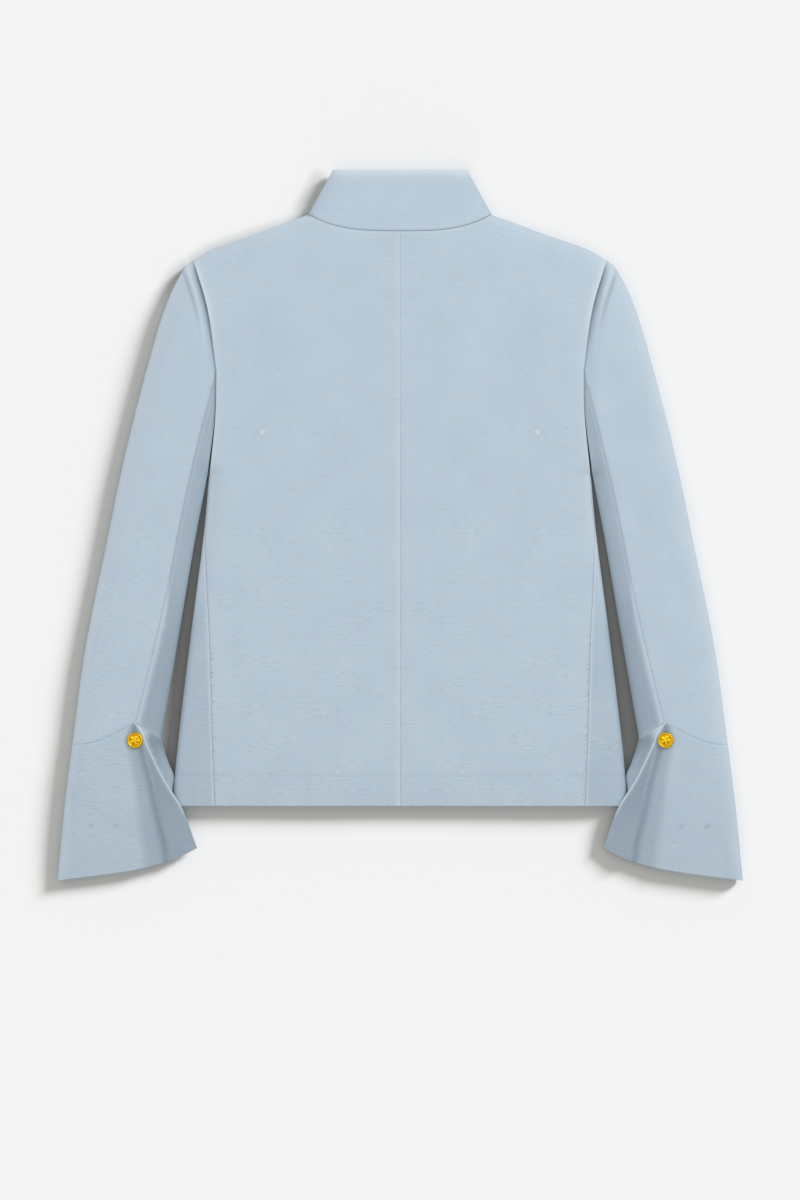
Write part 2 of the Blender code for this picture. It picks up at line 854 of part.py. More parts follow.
def collar_back(across, along):
    """Point on the back of the collar, from the left fold to the right one."""
    side = 2.0 * across - 1.0
    seam_up = back_neckline(abs(side))[1]
    up = seam_up + (COLLAR_TOP - seam_up) * along
    half = collar_half_width(along)
    rise = COLLAR_SEAM_HEIGHT + (COLLAR_TOP_HEIGHT - COLLAR_SEAM_HEIGHT) * along - FOLD
    share = rounded(half * (1.0 - abs(side)), FOLD_SPREAD * rise)
    return np.array((half * side, up, FOLD + rise * share))


def collar_front(across, along):
    """Point on the right front of the collar underneath, from the side fold to the centre front."""
    seam = front_neckline(1.0 - across)
    place = seam + (collar_front_edge(1.0 - across) - seam) * along
    inset = collar_half_width(along) - place[0]
    return over(place, FOLD * (1.0 - rounded(inset, UNDER_SPREAD)))


def mirrored(surface):
    """The same surface on the other side, run from its other end."""

    def point_at(across, along):
        return surface(1.0 - across, along) * (-1, 1, 1)

    return point_at


def add_collar(collection):
    """Stand collar in one band, from the centre front round the neck and back to it."""
    surface = spans(mirrored(collar_front), collar_back, collar_front)
    half = to_fold(NECK_CELLS)
    back = [0.5 - 0.5 * share for share in reversed(half)] + [0.5 + 0.5 * share for share in half[1:]]
    across = chained(to_fold(FRONT_NECK_CELLS), back, from_fold(FRONT_NECK_CELLS))
    add_panel(collection, "collar", surface, (across, evenly(COLLAR_CELLS)), COLLAR_FACING)


def add_button(collection, name, hand):
    """Turned metal button that sits on the cuff's upper flap."""
    shape = bmesh.new()
    profile = [
        shape.verts.new((row.radius_share * BUTTON_RADIUS * MM, 0.0, row.height * MM))
        for row in BUTTON_ROWS
    ]
    for start, end in zip(profile, profile[1:]):
        shape.edges.new((start, end))
    mesh = bpy.data.meshes.new(name)
    shape.to_mesh(mesh)
    shape.free()
    button = add_part(collection, name, mesh, GOLD)
    turned = button.modifiers.new("turned", "SCREW")
    turned.steps = BUTTON_STEPS
    turned.render_steps = BUTTON_STEPS
    turned.use_merge_vertices = True
    turned.merge_threshold = BUTTON_MERGE * MM
    turned.use_smooth_shade = True
    seat = CUFF_HEIGHT + SEAM_GAP
    button.location = Vector((BUTTON_CENTRE.across * hand, BUTTON_CENTRE.up, seat)) * MM


def build_jacket():
    """Make every piece of the jacket in its own collection."""
    clear_scene()
    collection = bpy.data.collections.new(COLLECTION_NAME)
    bpy.context.scene.collection.children.link(collection)
    for side_name, hand in (("left", -1), ("right", 1)):
        add_back(collection, f"back_{side_name}", hand)
        add_side(collection, f"side_{side_name}", hand)
        add_front(collection, f"front_{side_name}", hand)
        add_upper_sleeve(collection, f"sleeve_upper_{side_name}", hand)
        add_under_sleeve(collection, f"sleeve_under_{side_name}", hand)
        add_cuff(collection, f"cuff_{side_name}", hand)
        add_button(collection, f"button_{side_name}", hand)
    add_collar(collection)


build_jacket()
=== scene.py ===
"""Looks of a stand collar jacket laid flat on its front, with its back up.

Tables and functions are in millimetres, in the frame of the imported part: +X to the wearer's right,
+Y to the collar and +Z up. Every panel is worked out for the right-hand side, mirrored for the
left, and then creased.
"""

from collections import namedtuple
import json
import math

import bmesh
import bpy
from bpy.props import FloatProperty, FloatVectorProperty, IntProperty, PointerProperty
from bpy.types import Operator, Panel, PropertyGroup
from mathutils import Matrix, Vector
import numpy as np

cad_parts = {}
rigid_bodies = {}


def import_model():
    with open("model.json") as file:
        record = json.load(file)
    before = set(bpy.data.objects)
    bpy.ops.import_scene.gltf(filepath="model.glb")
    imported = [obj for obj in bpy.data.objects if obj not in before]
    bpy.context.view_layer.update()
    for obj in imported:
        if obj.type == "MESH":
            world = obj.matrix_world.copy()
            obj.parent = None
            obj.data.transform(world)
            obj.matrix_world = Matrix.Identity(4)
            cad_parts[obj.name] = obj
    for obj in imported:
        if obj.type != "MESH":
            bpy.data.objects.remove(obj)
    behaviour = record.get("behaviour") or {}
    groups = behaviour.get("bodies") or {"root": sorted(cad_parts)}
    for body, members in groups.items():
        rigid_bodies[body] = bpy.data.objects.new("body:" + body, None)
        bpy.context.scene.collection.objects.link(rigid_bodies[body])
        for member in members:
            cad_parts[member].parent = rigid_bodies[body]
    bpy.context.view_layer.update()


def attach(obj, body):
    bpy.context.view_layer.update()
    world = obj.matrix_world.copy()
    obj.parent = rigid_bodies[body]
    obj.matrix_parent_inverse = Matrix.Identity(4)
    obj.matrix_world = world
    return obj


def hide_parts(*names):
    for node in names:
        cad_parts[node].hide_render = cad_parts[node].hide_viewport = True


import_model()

bl_info = {
    "name": "Stand Collar Jacket",
    "version": (1, 0, 0),
    "blender": (4, 5, 0),
    "location": "View3D > Sidebar > Jacket",
    "description": "Dresses a laid stand collar jacket in slubbed cloth with gold buttons",
    "category": "Object",
}

MM = 0.001
HANDS = (("left", -1), ("right", 1))

# Start and end of a run of levels, widths, heights or tones
Span = namedtuple("Span", "start end")

# Seams: the gap between two panels, how far an edge is rounded, and the closer rows beside it as
# shares of a cell
SEAM_GAP = 0.3
EDGE_ROUND = 0.04
EDGE_SHARES = np.array((0.2, 0.45, 0.75))

# Folds: the height of their outermost point, how far in they round off above it, as a share of the
# rise, and how far in below it
FOLD = 5.2
FOLD_SPREAD = 2.1
UNDER_SPREAD = 9.0

# Levels and corners of the body
PlanRow = namedtuple("PlanRow", "across up")
HEM = -266.9
HEM_TURN = 29.3
UNDERARM = PlanRow(181.7, 48.1)
UNDERARM_EASE = 1.6
UNDERARM_SCOOP = 1.8
SHOULDER_TIP = PlanRow(196.6, 252.2)
NECK_POINT = PlanRow(87.4, 295.7)
FRONT_NOTCH = PlanRow(160.5, 105.0)
HINDARM_NOTCH = PlanRow(174.5, 146.2)
BACK_NECK = 279.5
FRONT_NECK = 211.0
BACK_NECK_SCOOP = 3.3
FRONT_NECK_SCOOP = 2.2
FRONT_SEAM_HEM = PlanRow(157.0, HEM)

# Corners of the wrist and cuff
WRIST_OUTER = PlanRow(312.1, -209.0)
WRIST_INNER = PlanRow(227.4, -202.4)
VENT_HEAD = PlanRow(251.2, -187.1)
CUFF_CORNER = PlanRow(326.4, -338.0)
FLAP_TIP = PlanRow(193.1, -307.1)
UNDER_TIP = PlanRow(198.9, -306.2)

# Half width of the body from hem to underarm, and how far in the side-back seam lies
SIDE_SEAM_LEAST = 0.7
BodyRow = namedtuple("BodyRow", "up half_width back_in")
BODY_ROWS = (
    BodyRow(HEM, 216.9, 40.5),
    BodyRow(-204.0, 211.2, 32.5),
    BodyRow(-109.0, 199.8, 18.5),
    BodyRow(-4.3, 186.4, SIDE_SEAM_LEAST),
    BodyRow(48.1, 181.7, SIDE_SEAM_LEAST),
)

# Height of the laid body along its middle
CrownRow = namedtuple("CrownRow", "up height")
CROWN_ROWS = (
    CrownRow(HEM, 10.0),
    CrownRow(-109.0, 13.0),
    CrownRow(48.1, 16.5),
    CrownRow(170.0, 17.5),
    CrownRow(300.0, 16.0),
)

# Plan points of the seams and edges, a row for each place where they bend
SHOULDER_ROWS = (
    NECK_POINT,
    PlanRow(141.7, 275.7),
    PlanRow(178.8, 262.6),
    SHOULDER_TIP,
)
BACK_ARMHOLE_UPPER = (
    SHOULDER_TIP,
    PlanRow(182.9, 205.2),
    HINDARM_NOTCH,
)
BACK_ARMHOLE_LOWER = (
    HINDARM_NOTCH,
    PlanRow(175.4, 105.0),
    PlanRow(UNDERARM.across - SIDE_SEAM_LEAST, UNDERARM.up),
)
FRONT_ARMHOLE_UPPER = (
    SHOULDER_TIP,
    PlanRow(178.5, 213.0),
    PlanRow(164.0, 160.0),
    FRONT_NOTCH,
)
SLEEVE_OUTER = (
    SHOULDER_TIP,
    PlanRow(205.4, 244.6),
    PlanRow(220.7, 214.8),
    PlanRow(236.0, 167.2),
    PlanRow(260.7, 71.9),
    PlanRow(280.7, -23.3),
    PlanRow(299.8, -118.6),
    WRIST_OUTER,
)
SLEEVE_UNDERARM = PlanRow(183.3, 47.2)
SLEEVE_ARMHOLE_LOWER = (
    HINDARM_NOTCH,
    PlanRow(175.8, 105.0),
    SLEEVE_UNDERARM,
)
SLEEVE_INNER = (
    SLEEVE_UNDERARM,
    PlanRow(195.0, -13.8),
    PlanRow(211.2, -109.0),
    WRIST_INNER,
)
HINDARM = (
    HINDARM_NOTCH,
    PlanRow(190.7, 86.2),
    PlanRow(208.3, 8.1),
    PlanRow(224.5, -75.7),
    VENT_HEAD,
)
FOREARM = (
    FRONT_NOTCH,
    PlanRow(188.0, 82.0),
    PlanRow(208.0, 28.0),
    PlanRow(243.0, -110.0),
    PlanRow(269.7, -205.7),
)
CUFF_SEAM = (
    WRIST_OUTER,
    PlanRow(295.0, -207.2),
    PlanRow(275.0, -200.0),
    VENT_HEAD,
)
CUFF_OUTER = (
    WRIST_OUTER,
    PlanRow(318.8, -261.4),
    CUFF_CORNER,
)
CUFF_HEM = (
    CUFF_CORNER,
    PlanRow(254.0, -328.1),
    PlanRow(216.9, -318.6),
    FLAP_TIP,
)
CUFF_VENT = (
    VENT_HEAD,
    PlanRow(244.7, -196.7),
    PlanRow(239.8, -209.0),
    PlanRow(223.6, -242.4),
    PlanRow(207.4, -269.0),
    FLAP_TIP,
)
CUFF_INNER_FOLD = (
    WRIST_INNER,
    PlanRow(224.2, -214.0),
    PlanRow(219.2, -228.1),
    PlanRow(215.2, -238.0),
    PlanRow(216.5, -252.0),
    PlanRow(217.8, -267.1),
    PlanRow(209.3, -290.0),
    UNDER_TIP,
)
CUFF_UNDER_HEM = (
    CUFF_CORNER,
    PlanRow(254.0, -327.5),
    UNDER_TIP,
)
CUFF_TAB_EDGE = (
    PlanRow(249.4, -188.6),
    PlanRow(240.0, -250.0),
    PlanRow(226.0, -316.0),
)

# Sleeve heights from the cap to the wrist
SleeveRow = namedtuple("SleeveRow", "share height")
SLEEVE_ROWS = (
    SleeveRow(0.0, 19.0),
    SleeveRow(0.25, 17.5),
    SleeveRow(0.65, 15.5),
    SleeveRow(1.0, 14.5),
)
CAP_DIP = 3.6
CAP_REACH = 15.0
HINDARM_SPREAD = 24.0

# Cuff heights: the upper flap, the turned-under tab, and the facet bent down along the vent; flap
# and tab fall from the wrist to the hem
CUFF_HEIGHT = 15.6
CUFF_HEM_HEIGHT = 9.0
CUFF_FALL_START = 0.2
CUFF_FALL_POWER = 2.0
TAB_HEIGHT = 9.2
TAB_HEM_HEIGHT = 6.2
TAB_WRIST_HEIGHT = 14.5
TAB_RAMP = 0.3
TAB_SPREAD = 12.0
FACET_DROP = 2.0
FACET_WIDTHS = Span(6.0, 24.0)
FACET_START = 0.35

# Collar band
COLLAR_TOP = 338.0
COLLAR_TOP_HALF = 64.0
COLLAR_FRONT_TOP = 258.0
COLLAR_HEIGHTS = Span(16.0, 15.0)

# Cuff button, from its middle over the rim to its back
BUTTON_RADIUS = 7.6
BUTTON_CENTRE = PlanRow(252.1, -204.3)
ButtonRow = namedtuple("ButtonRow", "radius height")
BUTTON_FACE = (
    ButtonRow(0.0, 2.5),
    ButtonRow(2.0, 2.4),
    ButtonRow(4.1, 2.1),
    ButtonRow(5.0, 1.9),
    ButtonRow(5.6, 2.3),
    ButtonRow(6.4, 2.7),
    ButtonRow(7.2, 2.3),
)
BUTTON_BACK = (
    ButtonRow(BUTTON_RADIUS, 1.6),
    ButtonRow(7.3, 0.7),
    ButtonRow(5.4, 0.1),
)
BUTTON_RINGS = 25
BUTTON_SIDES = 96
BUTTON_TONE = -0.25
BUTTON_BACK_TONE = -0.2

# Rings of ornament on the button's face: how often they repeat, by the rosette's petals or a fixed
# number, where they lie, and how far they stand out and are lighter
Ornament = namedtuple("Ornament", "petals fixed turn radius width height tone")
ORNAMENTS = (
    Ornament(1, 0, 0.4, 3.2, 1.3, 0.22, 0.7),
    Ornament(2, 0, -1.1, 1.7, 0.6, 0.12, 0.5),
    Ornament(0, 26, 0.0, 6.4, 0.5, 0.08, 0.0),
    Ornament(0, 0, 0.0, 5.0, 0.4, 0.0, -0.6),
)

# How far the button is out of round, in how many places, and where they lie
WOBBLE = 0.06
WOBBLE_SIDES = 3
WOBBLE_TURN = 1.0

# Sewn seams as grooves, or ridges where the depth is below 0: how deep and wide, and how much
# painted shade (below 0) or painted highlight the cloth gets beside them. One edge of a seam lies a
# little higher, and the light that it catches is painted.
Seam = namedtuple("Seam", "depth width tone")
CENTRE_HIGH = Seam(0.05, 2.6, 0.17)
CENTRE_LOW = Seam(0.1, 1.5, -0.05)
SIDE_HIGH = Seam(0.1, 1.8, 0.4)
SIDE_LOW = Seam(0.2, 1.1, -0.34)
SIDE_EDGE = Seam(0.0, 5.0, 0.6)
ARMHOLE_EDGE = Seam(0.1, 4.2, 0.55)
NECK_HIGH = Seam(0.1, 2.0, 0.14)
NECK_LOW = Seam(0.4, 1.1, -0.85)
HEM_LINE = Seam(0.15, 1.3, -0.09)
HEM_SHADE = Seam(0.0, 24.0, -0.06)
OUTER_EDGE = Seam(0.0, 6.0, 0.3)
SHOULDER_EDGE = Seam(0.0, 6.0, 0.2)
CAP_GUTTER = Seam(1.1, 4.6, -0.62)
CAP_SEAM = Seam(0.2, 1.5, -0.22)
CAP_ROLL = Seam(-0.8, 2.6, 0.3)
CAP_HOLLOW = Seam(0.5, 2.3, -0.5)
HINDARM_LOW = Seam(0.2, 1.2, -0.14)
HINDARM_RIDGE = Seam(-0.1, 1.1, 0.14)
WRIST_SEAM = Seam(0.0, 1.4, 0.32)
CUFF_HIGH = Seam(0.1, 1.3, 0.2)
CUFF_LOW = Seam(0.2, 1.8, -0.12)
VENT_EDGE = Seam(-0.4, 1.6, 1.2)
VALLEY_LINE = Seam(0.8, 3.8, -0.4)
VALLEY_CREASE = Seam(-0.3, 1.4, 0.3)
COLLAR_EDGE = Seam(-0.2, 6.0, 0.6)

# Where seams grow or fade, in levels along the jacket or shares of the sleeve head
CENTRE_GROWS = Span(190.0, 70.0)
SIDE_EDGE_LEVELS = Span(-50.0, -110.0)
ARMHOLE_EDGE_LEAST = 0.25
CAP_FILLS = Span(-0.1, 0.15)
CAP_FADES = Span(0.3, 1.05)
VENT_FADE = Span(-262.0, -284.0)
CREASE_FADE = Span(-252.0, -272.0)

# How far from their seam the roll and the hollow of the sleeve head and the hindarm ridge lie
CAP_ROLL_PLACE = 8.0
CAP_HOLLOW_PLACE = 12.5
CAP_HOLLOW_DRIFT = 4.0
HINDARM_RIDGE_PLACE = 2.6

# Valley beside the crease of a cuff, and the facet on the crease's other side, both darkened by painted
# shade
VALLEY_TONE = -0.34
VALLEY_DEPTH = 1.0
VALLEY_WIDTHS = Span(9.0, 18.5)
VALLEY_SHARES = Span(0.85, 1.6)
VALLEY_LINE_PLACE = 2.6
VALLEY_GROWS = Span(-193.0, -215.0)
FACET_TONES = Span(-0.65, -0.5)
FACET_LEVELS = Span(-245.0, -300.0)
FACET_TURN = 2.0

# Painted shade over whole side panels and over the inside of the cloth, and cuffs a little darker all over
SIDE_TONE = -0.19
CUFF_TONE = -0.09
INSIDE_TONE = -0.25

# Painted shade of the under sleeve above and below the elbow, and how far from its seam it is reached
StripRow = namedtuple("StripRow", "up tone reach")
STRIP_HIGH = StripRow(-42.0, -0.42, 0.8)
STRIP_LOW = StripRow(-102.0, -0.56, 9.0)

# Painted shade on the tab that carries on from the under sleeve, past the wrist and down to the tip
TAB_ROWS = (
    StripRow(-196.0, -0.6, 9.0),
    StripRow(-205.0, -0.86, 3.0),
    StripRow(-223.0, -0.58, 3.0),
    StripRow(-242.0, -0.42, 3.0),
)

# Short pulls in the cloth beside the side-back seams, dark yarns that stand for painted shade: where they
# run, and their uneven spacing
PULL_LEVELS = Span(-108.0, -264.0)
PULL_STEPS = Span(2.0, 15.0)
PULL_PLACE = Span(1.0, 2.6)
PULL_SEED = 11

# Crease that parts the flat of a cuff from the facet along its vent
FACET_ROWS = (
    PlanRow(247.0, -201.0),
    PlanRow(243.6, -213.8),
    PlanRow(239.8, -228.1),
    PlanRow(235.9, -242.4),
    PlanRow(232.1, -261.4),
    PlanRow(227.9, -280.5),
    PlanRow(223.1, -299.5),
    PlanRow(220.7, -313.8),
    PlanRow(217.0, -340.0),
)

# Creases: troughs, or ridges where the depth is below 0. They taper over a share of their length at
# both ends.
CREASE_TAPER = 0.3
# A crease's tone is painted shade where it is below 0 and painted highlight where it is above 0
Crease = namedtuple("Crease", "across up to_across to_up width depth tone")
BODY_CREASES = (
    Crease(-132.2, 86.4, -129.0, 90.8, 1.3, -0.4, 0.9),
    Crease(132.2, 86.4, 129.0, 90.8, 1.3, -0.4, 0.9),
    Crease(-71.5, -3.0, -67.0, -12.0, 1.6, 0.3, -0.08),
    Crease(70.0, -5.0, 75.0, -13.0, 1.6, 0.3, -0.08),
    Crease(-160.0, 120.0, -95.0, 60.0, 14.0, 0.35, -0.01),
    Crease(152.0, 132.0, 88.0, 52.0, 13.0, 0.3, -0.01),
    Crease(-150.0, -90.0, -60.0, -120.0, 16.0, 0.3, 0.0),
    Crease(140.0, -60.0, 52.0, -104.0, 17.0, 0.32, 0.0),
    Crease(-130.0, 225.0, -60.0, 200.0, 15.0, 0.3, 0.0),
    Crease(120.0, 230.0, 58.0, 196.0, 14.0, 0.28, 0.0),
    Crease(-190.0, -200.0, -110.0, -222.0, 12.0, 0.25, 0.0),
    Crease(185.0, -180.0, 120.0, -214.0, 13.0, 0.25, 0.0),
)
SLEEVE_CREASES = (
    Crease(182.0, 128.0, 173.0, 133.5, 1.5, 0.5, -0.12),
    Crease(-183.0, 127.0, -173.0, 133.0, 1.5, 0.5, -0.12),
    Crease(228.0, 150.0, 236.0, 60.0, 8.0, 0.3, -0.03),
    Crease(-226.0, 156.0, -238.0, 70.0, 8.0, 0.32, -0.03),
    Crease(224.0, 10.0, 262.0, -26.0, 7.0, 0.4, -0.02),
    Crease(-222.0, 24.0, -258.0, -14.0, 8.0, 0.36, -0.02),
    Crease(240.0, -84.0, 280.0, -112.0, 8.0, 0.35, -0.01),
    Crease(-236.0, -70.0, -284.0, -104.0, 9.0, 0.35, -0.01),
)
CUFF_CREASES = (
    Crease(252.4, -184.0, 252.4, -208.0, 4.5, 1.0, -0.8),
    Crease(-252.4, -184.0, -252.4, -208.0, 4.5, 1.0, -0.8),
    Crease(268.4, -284.0, 266.0, -289.0, 1.3, 0.3, -0.5),
    Crease(293.2, -284.0, 291.0, -289.0, 1.3, 0.3, -0.65),
    Crease(-268.8, -283.0, -270.8, -288.0, 1.3, 0.3, -0.45),
    Crease(-293.6, -283.0, -295.6, -288.0, 1.3, 0.3, -0.5),
)
UNDERSIDE_CREASES = (
    Crease(-120.0, 150.0, -60.0, 20.0, 10.0, 0.35, -0.02),
    Crease(104.0, 120.0, 66.0, -10.0, 11.0, 0.3, -0.02),
    Crease(-150.0, -60.0, -80.0, -150.0, 12.0, 0.32, -0.02),
    Crease(140.0, -90.0, 70.0, -190.0, 13.0, 0.35, -0.02),
    Crease(226.0, 60.0, 250.0, -20.0, 8.0, 0.35, -0.02),
    Crease(-230.0, 70.0, -252.0, -30.0, 9.0, 0.35, -0.02),
    Crease(280.0, -240.0, 270.0, -320.0, 8.0, 0.3, -0.02),
    Crease(-284.0, -232.0, -272.0, -316.0, 8.0, 0.3, -0.02),
)

# Long shallow waves that keep the cloth from lying dead flat
Wave = namedtuple("Wave", "across up phase height")
WAVES = (
    Wave(0.031, 0.012, 0.4, 0.16),
    Wave(-0.017, 0.037, 2.1, 0.13),
    Wave(0.052, -0.028, 4.0, 0.08),
    Wave(0.009, 0.071, 1.2, 0.06),
)
SIDE_SLACK = 0.6
FRONT_SLACK = 0.4
SLEEVE_SLACK = 0.7
COLLAR_SLACK = 0.6

# Upward or downward part of a normal at which a panel's outside counts fully as upper side or
# underside
UPPER_TILT = 0.3

# Turn of the sleeves' and cuffs' grain from the body's
SLEEVE_GRAIN = math.radians(9.0)
CUFF_GRAIN = math.radians(6.0)

# Shares of a panel where its outside faces up (1) or down (-1)
Facing = namedtuple("Facing", "across along up")
BACK_FACING = Facing(0.3, 0.3, 1)
SIDE_FACING = Facing(0.9, 0.3, -1)
FRONT_FACING = Facing(0.3, 0.3, -1)
SLEEVE_FACING = Facing(0.1, 0.5, 1)
COLLAR_FACING = Facing(0.5, 0.5, 1)

# Steps between two corners of a surface before it is evened out, and along a line for distances
DENSE_CELLS = 110
LINE_CELLS = 48

# Weave of the cloth, as noise drawn out into streaks: their lengths along the weft and the warp in
# metres, and their detail
Streak = namedtuple("Streak", "weft warp detail")
LONG_SLUBS = Streak(0.04, 0.002, 1.0)
WARP_BANDS = Streak(0.008, 0.16, 1.0)
CLOUDS = Streak(0.05, 0.05, 2.0)
CLUSTERS = Streak(0.045, 0.02, 1.0)
SHORT_SLUBS = Streak(0.007, 0.0014, 0.0)
STREAK_ROUGHNESS = 0.55

# Values carried over from one range to another: thick and thin places of a streak, tones of painted
# shade and painted highlight, and where slubs and yarns grow to the hem and fade to the sides
Ramp = namedtuple("Ramp", "from_start from_end start end")
NOISE_MIDDLE = Span(0.25, 0.75)
THICK_PLACES = Ramp(0.58, 0.72, 0.0, 1.0)
THIN_PLACES = Ramp(0.42, 0.28, 0.0, -1.0)
DARK_TONES = Ramp(0.0, -1.0, 0.0, 1.0)
LIGHT_TONES = Ramp(0.0, 1.0, 0.0, 1.0)
SLUBS_TO_HEM = Ramp(0.1, -0.25, 0.6, 1.3)
SLUBS_INWARD = Ramp(0.23, 0.19, 0.5, 1.0)
YARNS_TO_HEM = Ramp(0.1, -0.25, 0.4, 1.5)

# How far each part of the weave shades the cloth, as a share of its contrast, and how high it stands
CLUSTER_SHARES = Span(-0.3, 1.4)
KNOT_SHADE = 0.6
LONG_SHADE = 0.15
BAND_SHADE = 0.1
CLOUD_SHADE = 0.35
KNOT_RELIEF = 0.12
LONG_RELIEF = 0.3
THREAD_RELIEF = 0.05

# Specks of wear on the metal and of twist in the yarn, and how far wear makes the metal smoother and
# rougher
Specks = namedtuple("Specks", "scale detail")
METAL_WEAR = Specks(900.0, 3.0)
YARN_TWIST = Specks(160.0, 2.0)
WEAR_ROUGHNESS = Span(-0.06, 0.1)

# Raised yarns: drawn out from a rough ball, with their sizes as shares of the settings. Slubs lie
# where the cloth is level and not darker than a tone.
YARN_SEGMENTS = 5
YARN_RINGS = 4
YARN_LONGEST = 1.6
YARN_FLATNESS = 0.6
SLUB_SHORTEST = 0.3
SLUB_LEVEL = 0.9
SLUB_DARKEST = -0.15
PULL_SHORTEST = 0.4
PULL_SLANT = 0.35


def hermite(start, end, start_slope, end_slope, span, share):
    """Cubic between two values with given slopes, at a share of the span."""
    square = share * share
    cube = square * share
    return (
        start * (2 * cube - 3 * square + 1)
        + start_slope * (span * (cube - 2 * square + share))
        + end * (3 * square - 2 * cube)
        + end_slope * (span * (cube - square))
    )


def smooth_through(keys, values):
    """Function that runs smoothly through the values at the rising keys."""
    keys = np.array(keys, dtype=float)
    values = np.array(values, dtype=float)
    last = len(keys) - 1
    before = np.maximum(np.arange(last + 1) - 1, 0)
    after = np.minimum(np.arange(last + 1) + 1, last)
    runs = (keys[after] - keys[before]).reshape((-1,) + (1,) * (values.ndim - 1))
    slopes = (values[after] - values[before]) / runs

    def value_at(key):
        key = np.asarray(key, dtype=float)
        index = np.clip(np.searchsorted(keys, key) - 1, 0, last - 1)
        span = keys[index + 1] - keys[index]
        share = (key - keys[index]) / span
        if values.ndim > 1:
            span = span[..., None]
            share = share[..., None]
        ends = (values[index], values[index + 1], slopes[index], slopes[index + 1])
        return hermite(*ends, span, share)

    return value_at


def column(rows, key_name, value_name):
    """Smooth function of one column of a table by another."""
    return smooth_through(
        [getattr(row, key_name) for row in rows],
        [getattr(row, value_name) for row in rows],
    )


def path(rows):
    """Smooth plan curve through the rows, from share 0 to share 1 of its length."""
    points = np.array(rows, dtype=float)
    steps = np.linalg.norm(np.diff(points, axis=0), axis=1)
    reached = np.concatenate(([0.0], np.cumsum(steps)))
    return smooth_through(reached / reached[-1], points)


def joined(first, second, border):
    """Curve that follows the first path up to the border share, then the second."""

    def point_at(share):
        share = np.asarray(share, dtype=float)
        early = first(np.clip(share / border, 0.0, 1.0))
        late = second(np.clip((share - border) / (1.0 - border), 0.0, 1.0))
        return np.where((share <= border)[..., None], early, late)

    return point_at


def backwards(curve):
    """The same curve run from its other end."""
    return lambda share: curve(1.0 - np.asarray(share))


def line(start, end):
    """Straight plan curve."""
    return lambda share: start + (end - start) * np.asarray(share)[..., None]


def patch(first_row, last_row, first_column, last_column):
    """Plan points inside four edge curves, at shares across and along."""
    corner_a = first_row(0.0)
    corner_b = first_row(1.0)
    corner_c = last_row(0.0)
    corner_d = last_row(1.0)

    def point_at(across, along):
        u = across[..., None]
        v = along[..., None]
        rows = first_row(across) * (1.0 - v) + last_row(across) * v
        columns = first_column(along) * (1.0 - u) + last_column(along) * u
        low = corner_a * (1.0 - u) + corner_b * u
        high = corner_c * (1.0 - u) + corner_d * u
        return rows + columns - low * (1.0 - v) - high * v

    return point_at


def samples(curve):
    """Points along a plan curve for measuring distances."""
    return curve(np.linspace(0.0, 1.0, LINE_CELLS + 1))


def distance(points, places):
    """Distance in plan from places to a line of points."""
    nearest = np.full(places.shape[:-1], np.inf)
    for start, end in zip(points, points[1:]):
        run = end - start
        share = np.clip(((places - start) @ run) / run.dot(run), 0.0, 1.0)
        gap = places - start - share[..., None] * run
        nearest = np.minimum(nearest, np.hypot(gap[..., 0], gap[..., 1]))
    return nearest


def rounded(inset, spread):
    """Rise of a rounded fold, from 0 at the fold to 1 at its full spread."""
    share = np.clip(inset / spread, 0.0, 1.0)
    return np.sqrt(1.0 - (1.0 - share) ** 2)


def soft(share):
    """Smooth ramp from 0 to 1."""
    share = np.clip(share, 0.0, 1.0)
    return share * share * (3.0 - 2.0 * share)


def fade(value, levels):
    """Soft step from 0 at the start of a span to 1 at its end."""
    return soft((value - levels.start) / (levels.end - levels.start))


def blend(values, share):
    """Value at a share of the way from the start of a span to its end."""
    return values.start + (values.end - values.start) * share


def over(place, height):
    """Points at heights over plan points."""
    return np.concatenate((place, np.asarray(height)[..., None]), axis=-1)


half_width = column(BODY_ROWS, "up", "half_width")
seam_inset = column(BODY_ROWS, "up", "back_in")
crown = column(CROWN_ROWS, "up", "height")
shoulder_up = column(SHOULDER_ROWS, "across", "up")
sleeve_height = column(SLEEVE_ROWS, "share", "height")

back_armhole_upper = path(BACK_ARMHOLE_UPPER)
back_armhole_lower = path(BACK_ARMHOLE_LOWER)
sleeve_armhole_lower = path(SLEEVE_ARMHOLE_LOWER)
front_armhole_upper = path(FRONT_ARMHOLE_UPPER)
sleeve_outer = path(SLEEVE_OUTER)
sleeve_inner = path(SLEEVE_INNER)
hindarm = path(HINDARM)
forearm = path(FOREARM)
cuff_seam = path(CUFF_SEAM)
cuff_outer = path(CUFF_OUTER)
cuff_hem = path(CUFF_HEM)
cuff_vent = path(CUFF_VENT)
cuff_inner_fold = path(CUFF_INNER_FOLD)
cuff_under_hem = path(CUFF_UNDER_HEM)
cuff_tab_edge = path(CUFF_TAB_EDGE)


def back_in(up):
    """Inset of the side-back seam, which stays just on top of the fold above the waist."""
    return np.maximum(SIDE_SEAM_LEAST, seam_inset(up))


def side_reach(up):
    """Half width of the fold line beside a point, which runs out past the underarm."""
    return np.where(up <= UNDERARM.up, half_width(up), UNDERARM.across + (up - UNDERARM.up))


def fold_share(place, spread):
    """Rise of the body at plan points, 0 on the side fold and the shoulder fold."""
    across = place[..., 0]
    up = place[..., 1]
    on_shoulder = np.clip(across, NECK_POINT.across, SHOULDER_TIP.across)
    slope = (NECK_POINT.up - SHOULDER_TIP.up) / (SHOULDER_TIP.across - NECK_POINT.across)
    shoulder_line = shoulder_up(on_shoulder) - (across - on_shoulder) * slope
    below_shoulder = (shoulder_line - up) / math.hypot(1.0, slope)
    return rounded(side_reach(up) - across, spread) * rounded(below_shoulder, spread)


